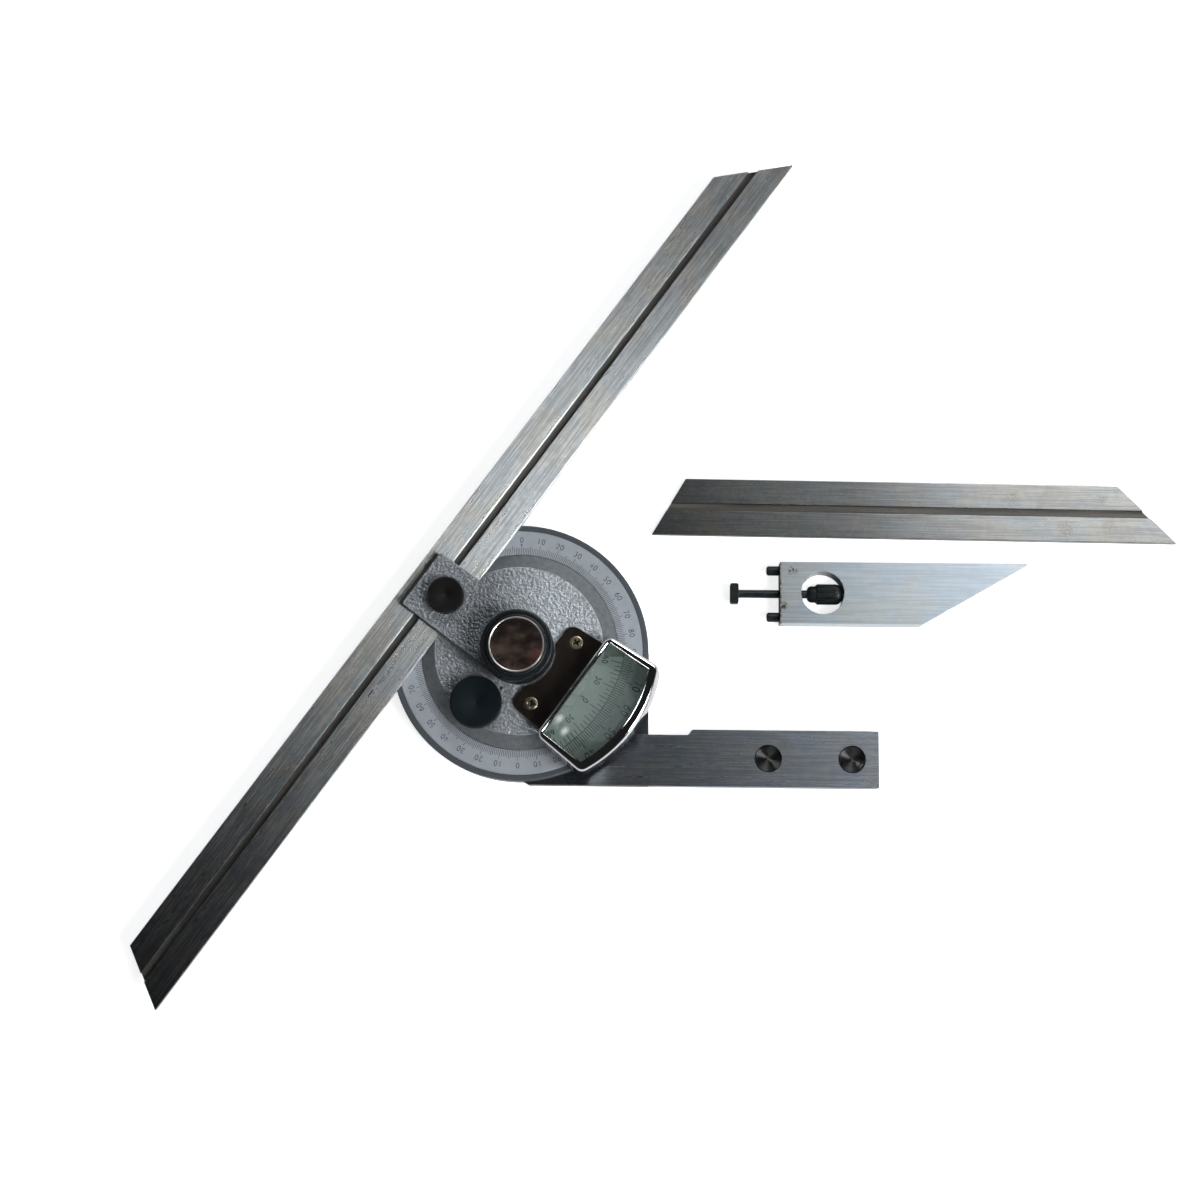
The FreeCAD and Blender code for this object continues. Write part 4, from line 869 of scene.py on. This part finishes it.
def make_graduation_tree():
    """Geometry nodes for a ring of graduation lines, longer at every fifth and tenth."""
    tree = bpy.data.node_groups.new("graduation_lines", "GeometryNodeTree")
    sockets = {"Count": "Int", "Line Size": "Vector", "Finish": "Material"}
    for label in ("Count", "Start", "Step", "Edge", "Outwards", "Short", "Middle", "Long",
                  "Middle Every", "Long Every", "Line Size", "Height", "Finish"):
        kind = "NodeSocket" + sockets.get(label, "Float")
        tree.interface.new_socket(label, in_out="INPUT", socket_type=kind)
    tree.interface.new_socket("Geometry", in_out="OUTPUT", socket_type="NodeSocketGeometry")
    nodes = Nodes(tree)
    take = nodes.add("NodeGroupInput").outputs
    index = nodes.add("GeometryNodeInputIndex").outputs[0]

    def every(divisor):
        """1 on each line whose number divides, else 0."""
        return nodes.maths("LESS_THAN", nodes.maths("FLOORED_MODULO", index, divisor), 0.5)

    angle = nodes.scaled(index, take["Step"], take["Start"])
    more = nodes.maths("SUBTRACT", take["Middle"], take["Short"])
    length = nodes.scaled(every(take["Middle Every"]), more, take["Short"])
    more = nodes.maths("SUBTRACT", take["Long"], length)
    length = nodes.scaled(every(take["Long Every"]), more, length)
    half = nodes.times(length, nodes.times(take["Outwards"], 0.5))
    reach = nodes.maths("ADD", take["Edge"], half)
    spot = nodes.combine(nodes.times(reach, nodes.maths("COSINE", angle)),
                         nodes.times(reach, nodes.maths("SINE", angle)), take["Height"])
    points = nodes.add("GeometryNodePoints", {"Count": take["Count"], "Position": spot})
    bar = nodes.add("GeometryNodeMeshCube", {"Size": take["Line Size"]})
    lines = nodes.add("GeometryNodeInstanceOnPoints", {
        "Points": points.outputs[0], "Instance": bar.outputs[0], "Rotation": nodes.combine(z=angle),
        "Scale": nodes.combine(length, 1.0, 1.0)})
    solid = nodes.add("GeometryNodeRealizeInstances", {"Geometry": lines.outputs[0]})
    dressed = nodes.add("GeometryNodeSetMaterial", {
        "Geometry": solid.outputs[0], "Material": take["Finish"]})
    nodes.add("NodeGroupOutput", {0: dressed.outputs[0]})
    return tree


def engrave_lines(name, body, tree, material, lengths, **inputs):
    """Run the graduation nodes and keep their result as a plain mesh. lengths are inputs in
    millimetres."""
    work = link_object(name + "_work", bpy.data.meshes.new(name + "_start"))
    modifier = work.modifiers.new("lines", "NODES")
    modifier.node_group = tree
    values = {label.replace("_", " "): value for label, value in inputs.items()}
    values.update({label: value * MM for label, value in lengths.items()})
    values["Line Size"] = (1.0, LINE_WIDTH * MM, LINE_THICKNESS * MM)
    values["Height"] = RING_TOP * MM
    values["Finish"] = material
    for item in tree.interface.items_tree:
        if item.in_out == "INPUT":
            modifier[item.identifier] = values[item.name]
    new_piece(name, body, finished_mesh(work), None, material, "dark_steel")


def arc(x, y, width, height, start, end, steps=14):
    """Points along part of an ellipse, angles in degrees."""
    points = []
    for i in range(steps + 1):
        angle = math.radians(start + (end - start) * i / steps)
        points.append((x + width * math.cos(angle), y + height * math.sin(angle)))
    return points


def digit_strokes(digit):
    """Strokes of an engraver's digit in a box 0.6 wide and 1 high."""
    six = [arc(0.3, 0.3, 0.26, 0.3, 0, 360), arc(0.62, 0.36, 0.58, 0.62, 178, 112, 8)]
    return {
        "0": [arc(0.3, 0.5, 0.27, 0.5, 0, 360, 20)],
        "1": [[(0.3, 0), (0.3, 1)]],
        "2": [arc(0.29, 0.72, 0.24, 0.28, 165, -38) + [(0.04, 0), (0.56, 0)]],
        "3": [arc(0.27, 0.76, 0.22, 0.24, 150, -90) + arc(0.27, 0.27, 0.26, 0.27, 85, -150)],
        "4": [[(0.43, 0), (0.43, 1), (0.02, 0.3), (0.58, 0.3)]],
        "5": [[(0.5, 1), (0.13, 1)] + arc(0.27, 0.31, 0.27, 0.31, 128, -145)],
        "6": six,
        "7": [[(0.04, 1), (0.56, 1), (0.2, 0)]],
        "8": [arc(0.3, 0.76, 0.2, 0.24, 0, 360), arc(0.3, 0.27, 0.25, 0.27, 0, 360)],
        "9": [[(0.6 - x, 1 - y) for x, y in stroke] for stroke in six],
        "'": [[(0.1, 1), (0.1, 0.72)]],
    }[digit]


def engrave_numbers(name, body, labels, height, material, extra=()):
    """Numbers round a centre. labels holds (text, angle in degrees, radius); tops outwards. extra
    holds further closed strokes."""
    curve = bpy.data.curves.new(name + "_strokes", "CURVE")
    curve.dimensions = "3D"
    curve.bevel_depth = STROKE_WIDTH / 2 * MM
    curve.bevel_resolution = 1
    curve.use_fill_caps = True

    def stroke(points, closed):
        """Add one stroke."""
        spline = curve.splines.new("POLY")
        spline.points.add(len(points) - 1)
        spline.use_cyclic_u = closed
        for point, (x, y) in zip(spline.points, points):
            point.co = (x * MM, y * MM, 0, 1)

    for text, degrees, radius in labels:
        angle = math.radians(degrees)
        out = Vector((math.cos(angle), math.sin(angle)))
        right = Vector((out.y, -out.x))
        start = -(len(text) - 1) * DIGIT_PITCH / 2 - 0.3
        for number, digit in enumerate(text):
            for shape in digit_strokes(digit):
                closed = len(shape) > 3 and math.dist(shape[0], shape[-1]) < 1e-6
                track = []
                for x, y in shape[:-1] if closed else shape:
                    across = (start + number * DIGIT_PITCH + x) * height
                    track.append(out * (radius + (y - 0.5) * height) + right * across)
                stroke(track, closed)
    for track in extra:
        stroke(track, True)
    mesh = finished_mesh(link_object(name + "_work", curve))
    flatten = LINE_THICKNESS / STROKE_WIDTH
    for vertex in mesh.vertices:
        vertex.co.z = RING_TOP * MM + vertex.co.z * flatten
    new_piece(name, body, mesh, None, material, "dark_steel", 60.0)


def make_scales(ink):
    """Main scale on the ring and the vernier beside it."""
    tree = make_graduation_tree()
    engrave_lines("scale_lines", "body", tree, ink,
                  {"Edge": RING_INNER + 0.05, "Short": 1.9, "Middle": 2.4, "Long": 2.9}, Count=360,
                  Start=0.0, Step=math.radians(1), Outwards=1.0, Middle_Every=5.0, Long_Every=10.0)
    labels = []
    for degrees in range(0, 360, 10):
        value = degrees % 180
        labels.append((str(min(value, 180 - value)), 90 - degrees, NUMERAL_RADIUS))
    mark = [Vector(point) for point in ((0, 30.25), (0.22, 30.6), (0, 30.95), (-0.22, 30.6))]
    engrave_numbers("scale_numbers", "body", labels, NUMERAL_HEIGHT, ink, [mark])
    middle = math.degrees(TURRET_TURN)
    engrave_lines("vernier_lines", "turret", tree, ink,
                  {"Edge": RING_INNER - 0.15, "Short": 1.3, "Middle": 1.9, "Long": 2.4}, Count=25,
                  Start=math.radians(middle - 12 * VERNIER_STEP), Step=math.radians(VERNIER_STEP),
                  Outwards=-1.0, Middle_Every=3.0, Long_Every=6.0)
    labels = []
    for place, text in ((-12, "60"), (-6, "30"), (0, "0"), (6, "30"), (12, "60")):
        labels.append((text, middle + place * VERNIER_STEP, VERNIER_NUMERAL_RADIUS))
    engrave_numbers("vernier_numbers", "turret", labels, VERNIER_NUMERAL_HEIGHT, ink)
    labels = [("5'", middle, VERNIER_VALUE_RADIUS)]
    engrave_numbers("vernier_value", "turret", labels, VERNIER_VALUE_HEIGHT, ink)


# Magnifier

def fan_outline(shape, inset, corner):
    """Outline of the magnifier in the turret's frame, moved in by an inset, corners rounded."""
    inner, inner_half, outer_half, radius = shape
    side = math.atan2(outer_half - inner_half, math.sqrt(radius ** 2 - outer_half ** 2) - inner)
    normal = Vector((-math.sin(side), math.cos(side)))
    along = Vector((math.cos(side), math.sin(side)))
    corner = max(corner, 0.05)
    x0, r1 = inner + inset, radius - inset
    shifted = Vector((inner, inner_half)) - normal * (inset + corner)
    centre_in = shifted + along * ((x0 + corner - shifted.x) / along.x)
    b = shifted.dot(along)
    run = math.sqrt(b * b - shifted.length_squared + (r1 - corner) ** 2) - b
    centre_out = shifted + along * run
    first = math.atan2(normal.y, normal.x)
    last = math.atan2(centre_out.y, centre_out.x)

    def rounded(centre, start, end, steps=8):
        """Points round one corner."""
        angles = [start + (end - start) * i / steps for i in range(steps + 1)]
        return [centre + Vector((math.cos(angle), math.sin(angle))) * corner for angle in angles]

    upper = rounded(centre_in, math.pi, first)
    tail, head = centre_in + normal * corner, centre_out + normal * corner
    upper += [tail.lerp(head, i / 8) for i in range(1, 8)]
    upper += rounded(centre_out, first, last)
    for i in range(1, 13):
        angle = last * (1 - i / 13)
        upper.append(Vector((math.cos(angle), math.sin(angle))) * r1)
    lower = [Vector((point.x, -point.y)) for point in reversed(upper)]
    closing = [Vector((x0, upper[0].y * i / 6)) for i in range(-5, 6)]
    outline = upper + [Vector((r1, 0))] + lower + closing
    return [point + Vector((0, MAGNIFIER_SIDE)) for point in outline]


def make_hood(material):
    """Chromed frame: walls that flare downwards, a rolled edge, a nearly flat rim and a fine bead
    next to the glass."""
    pane = fan_outline(PANE_SHAPE, 0.0, PANE_CORNER)
    # Rows of (share of the way to the pane, inset, height), from the wall's foot over the roll.
    rows = [(0.0, (HOOD_BOTTOM - HOOD_TOP) * HOOD_FLARE, HOOD_BOTTOM),
            (0.0, -2.0 * HOOD_FLARE, HOOD_TOP - 2.0)]
    for i in range(9):
        angle = math.pi / 2 * i / 8
        rows.append((0.0, HOOD_ROLL * (1 - math.cos(angle)), HOOD_TOP + HOOD_ROLL * (math.sin(angle) - 1)))
    # Across the rim, over the bead, then down the window and the inside of the wall.
    for share, drop in ((0.15, 0.02), (0.80, 0.04), (0.84, 0.05), (0.88, 0.01), (0.94, 0.0),
                        (1.0, 0.14), (1.0, 1.2)):
        rows.append((share, HOOD_ROLL, HOOD_TOP - drop))
    rows += [(0.0, HOOD_WALL, HOOD_TOP - 1.2), (0.0, HOOD_WALL, HOOD_BOTTOM)]
    points, faces = [], []
    for share, inset, height in rows:
        for spot, inside in zip(fan_outline(HOOD_SHAPE, inset, HOOD_CORNER - inset), pane):
            spot = spot.lerp(inside, share)
            points.append(turret_point(spot.x, spot.y, height))
    count = len(pane)
    for i in range(len(rows)):
        faces += wall_faces(i * count, (i + 1) % len(rows) * count, count)
    stand_in("magnifier_frame", "turret", (points, faces), material, "bright_chrome", 50.0, turned=False)


def make_lens(material):
    """Lens with two round faces that flatten towards the rim, cut to the window of its frame."""
    edge = fan_outline(PANE_SHAPE, LENS_PLAY, PANE_CORNER - 0.05)
    centre = Vector(((PANE_SHAPE[0] + PANE_SHAPE[3]) / 2, MAGNIFIER_SIDE))
    crown = Vector((LENS_CROWN, MAGNIFIER_SIDE))
    low, high = levels_of("magnifier_lens")
    level = (low + high) / 2
    half = (high - low) / 2
    rings, points = 20, []
    for side in (1, -1):
        for ring in range(rings + 1):
            for point in edge if ring else edge[:1]:
                spot = centre + (point - centre) * (ring / rings)
                away = (spot - crown).length_squared
                flat = 1 + math.sqrt(1 + (LENS_FLATTENING - 1) * away / LENS_CURVE ** 2)
                height = level + side * (half - away / LENS_CURVE / flat)
                points.append(turret_point(spot.x, spot.y, height))
    count = len(edge)
    lower = 1 + rings * count
    rim = 1 + (rings - 1) * count
    faces = disc_faces(0, rings, count) + disc_faces(lower, rings, count)
    faces += wall_faces(rim, lower + rim, count)
    stand_in("magnifier_lens", "turret", (points, faces), material, "lens_glass", 40.0, turned=False)


def make_bracket_screws(material):
    """Two flat-topped screws with a cross recess."""
    radii = [0.12 * i for i in range(1, 13)] + [1.56, 1.7, 1.8, 1.86]
    steps = 64
    angles = [2 * math.pi * step / steps for step in range(steps)]
    foot_radius, foot_level = 0.98, -1.15
    points, faces = [], []
    for side, turn in ((1, 0.5), (-1, 1.4)):
        centre = turret_point(BRACKET_SCREW_X, MAGNIFIER_SIDE + side * BRACKET_SCREW_SPREAD, BRACKET_TOP)
        base = len(points)
        points.append(centre + Vector((0, 0, -1.0)))
        for radius in radii:
            for angle in angles:
                x, y = radius * math.cos(angle - turn), radius * math.sin(angle - turn)
                near, far = min(abs(x), abs(y)), max(abs(x), abs(y))
                inside = max(0.0, min(1.0, (0.26 - near) / 0.06)) * max(0.0, min(1.0, (1.1 - far) / 0.2))
                sink = inside * (1.0 - 0.5 * far)
                edge = max(0.0, radius - 1.6) ** 2 * 1.2
                points.append(centre + Vector((
                    radius * math.cos(angle), radius * math.sin(angle), -0.02 - sink - edge)))
        foot = len(points)
        for angle in angles:
            points.append(centre + Vector((
                foot_radius * math.cos(angle), foot_radius * math.sin(angle), foot_level)))
        points.append(centre + Vector((0, 0, foot_level)))
        faces += disc_faces(base, len(radii), steps)
        last = foot - steps
        for k in range(steps):
            n = (k + 1) % steps
            faces.append((last + k, foot + k, foot + n, last + n))
            faces.append((foot + k, foot + steps, foot + n))
    stand_in("bracket_screws", "turret", (points, faces), material, "screw_zinc", 30.0, turned=False,
             name="bracket_screw_heads")


# Turned pieces

def make_nut(material):
    """Round nut of the attachment: smooth collar, fluted grip and a domed end."""
    _, y, z = middle_of("attachment_nut")
    start, end = [corner[0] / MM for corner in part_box("attachment_nut")]
    profile = [(1.2, start), (1.65, start), (2.1, start + 0.35), (2.35, start + 0.9),
               (2.35, start + 2.2), (2.55, start + 2.4), (2.98, start + 2.75), (2.98, end - 2.4),
               (2.9, end - 1.6), (2.65, end - 0.9), (2.2, end - 0.35), (1.6, end - 0.08),
               (0.0, end), (0.0, end - 1.4), (1.2, end - 1.4)]
    shape = lathe(profile, (0, y, z), 120, (24, 0.28, start + 2.7, end - 2.3), "X")
    stand_in("attachment_nut", "nut", shape, material, "dark_steel", 35.0)


def make_knob(node, body, material, centre, radius):
    """A turned knob with chamfers, a fluted side and a small dimple in its face."""
    low, high = levels_of(node)
    bevel = 0.4
    profile = [(0.0, low), (radius - bevel, low), (radius, low + bevel), (radius, low + bevel + 0.05),
               (radius, high - bevel - 0.05), (radius, high - bevel), (radius - bevel, high),
               (0.3, high), (0.0, high - 0.12)]
    shape = lathe(profile, (centre[0], centre[1], 0), 192,
                  (64, 0.16, low + bevel + 0.01, high - bevel - 0.01))
    stand_in(node, body, shape, material, "dark_steel", 28.0)


def make_centre_knob(material, cap_material):
    """Centre knob with its stepped crown, and the mirror cap with a bright edge."""
    low, high = levels_of("centre_knob")
    # Underside and side, shoulder with its fine groove, then crown and the seat of the cap.
    profile = [(3.05, low), (9.5, low), (10.0, low + 0.5), (10.0, low + 0.8), (10.0, SHOULDER - 0.9),
               (10.0, SHOULDER - 0.5), (9.85, SHOULDER - 0.12), (9.5, SHOULDER), (9.15, SHOULDER),
               (9.08, SHOULDER - 0.25), (8.92, SHOULDER - 0.25), (8.85, SHOULDER), (8.5, SHOULDER),
               (8.42, SHOULDER + 0.1), (8.4, high - 0.3), (8.3, high - 0.08), (8.1, high),
               (7.74, high), (7.70, high - 0.5), (3.05, high - 0.5)]
    shape = lathe(profile, steps=192, flutes=(72, 0.2, low + 0.79, SHOULDER - 0.89))
    stand_in("centre_knob", "centre_clamp", shape, material, "dark_steel", 28.0, turned=False)
    base, top = levels_of("knob_cap")
    profile = [(0.0, base), (CAP_RADIUS, base), (CAP_RADIUS, top - 0.35), (CAP_RADIUS - 0.1, top - 0.1),
               (CAP_RADIUS - 0.25, top), (CAP_RADIUS - 0.4, top - 0.06), (CAP_RADIUS - 0.5, top - 0.12),
               (0.0, top - 0.12)]
    shape = lathe(profile, steps=128)
    stand_in("knob_cap", "centre_clamp", shape, cap_material, "black_chrome", 25.0)


def make_plugs():
    """Turned discs let into the stock: a chamfer and a slightly dished face."""
    low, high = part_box("stock_plugs")
    left, right = low[0] / MM + PLUG_RADIUS, high[0] / MM - PLUG_RADIUS
    y = middle_of("stock_plugs")[1]
    base, top = levels_of("stock_plugs")
    radius = (high[1] - low[1]) / 2 / MM
    profile = [(0.0, base), (radius, base), (radius, top - 0.25), (radius - 0.3, top),
               (radius - 0.5, top - 0.02), (radius * 0.6, top - 0.12), (radius * 0.3, top - 0.19),
               (0.0, top - 0.22)]
    points, faces = [], []
    for x in (low[0] / MM + radius, high[0] / MM - radius):
        more, sides = lathe(profile, (x, y, 0))
        faces += [tuple(index + len(points) for index in side) for side in sides]
        points += more
    material = make_turned_finish("plug_black", (left, y, 0), (0.075, 0.075, 0.072),
                                  (0.033, 0.033, 0.033), 0.22, depth=0.01, metallic=1.0,
                                  brushed=0.85, repeat=right - left)
    stand_in("stock_plugs", "body", (points, faces), material, "dark_steel", 25.0)


def dress(node, material):
    """Give a CAD node its finish."""
    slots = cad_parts[node].data.materials
    slots.clear()
    slots.append(material)


make_camera()
make_world()
make_floor()
make_lamp("key_softbox", (0.58, -0.30, 0.75), 0.42, 9.5, (1.0, 1.0, 1.0))
make_lamp("back_softbox", (0.35, 0.55, 0.75), 0.40, 1.0, (0.95, 0.98, 1.0))

scale = make_scale_finish()
hammer = make_hammer_finish()
dark = make_plain_finish("black_oxide", (0.010, 0.013, 0.014), (0.005, 0.007, 0.008), metallic=0.0,
                         rough=0.38)
plain = make_plain_finish("machined_steel", (0.50, 0.50, 0.51), (0.36, 0.36, 0.37))
brass = make_plain_finish("bush_brass", (0.72, 0.56, 0.30), (0.55, 0.41, 0.20), rough=0.32)
bronze = make_plain_finish("dark_bronze", (0.014, 0.010, 0.008), (0.006, 0.004, 0.003), metallic=0.0,
                           rough=0.32, scale=0.25)

# Pieces whose edges are broken by a width, then pieces with more form than their solids.
softened("stock_body", make_stock_finish(), "ground_steel", "body", 0.12)
softened("blade", make_blade_finish(), "ground_steel", "blade", 0.16)
softened("short_blade", make_short_blade_finish(), "ground_steel", "short_blade", 0.16)
softened("attachment_plate", make_attachment_finish(), "ground_steel", "attachment", 0.2)
softened("turret_plate", hammer, "hammer_paint", "turret", 0.15)
softened("clamp_arm", hammer, "hammer_paint", "turret", 0.25)
softened("magnifier_bracket", bronze, "dark_bronze", "turret", 0.15)
softened("attachment_bolt", dark, "dark_steel", "t_bolt", 0.2)
softened("attachment_pins", dark, "dark_steel", "attachment", 0.1)
softened("dial_ring", scale, "satin_scale", "body", 0.08)
make_scales(make_ink_finish())
make_hood(make_chrome_finish())
make_lens(make_lens_finish())
make_bracket_screws(make_screw_finish())
make_nut(dark)
make_centre_knob(dark, make_cap_finish())
for node_name, body_name, finish_name, knob_radius, light_tone, dark_tone, mark_pitch in (
        ("fine_knob", "fine_adjust", "fine_knob_black", FINE_KNOB_RADIUS,
         (0.005, 0.0085, 0.0105), (0.0025, 0.005, 0.006), 0.30),
        ("blade_clamp_knob", "blade_clamp", "clamp_knob_black", CLAMP_KNOB_RADIUS,
         (0.0075, 0.0075, 0.0068), (0.0035, 0.0035, 0.0033), 0.22)):
    knob_centre = middle_of(node_name)
    finish_used = make_turned_finish(finish_name, knob_centre, light_tone, dark_tone, mark_pitch)
    make_knob(node_name, body_name, finish_used, knob_centre, knob_radius)
make_plugs()
for node_name, finish_used in (
        ("vernier_plate", scale), ("ring_gear", plain), ("spindle", plain), ("back_cover", plain),
        ("back_screws", dark), ("arm_screws", plain), ("fine_bush", brass), ("clamp_bush", brass),
        ("clamp_washer", dark), ("thrust_washer", plain), ("fine_pinion", plain),
        ("eccentric_shaft", plain)):
    dress(node_name, finish_used)

bpy.context.scene.view_settings.view_transform = "Standard"
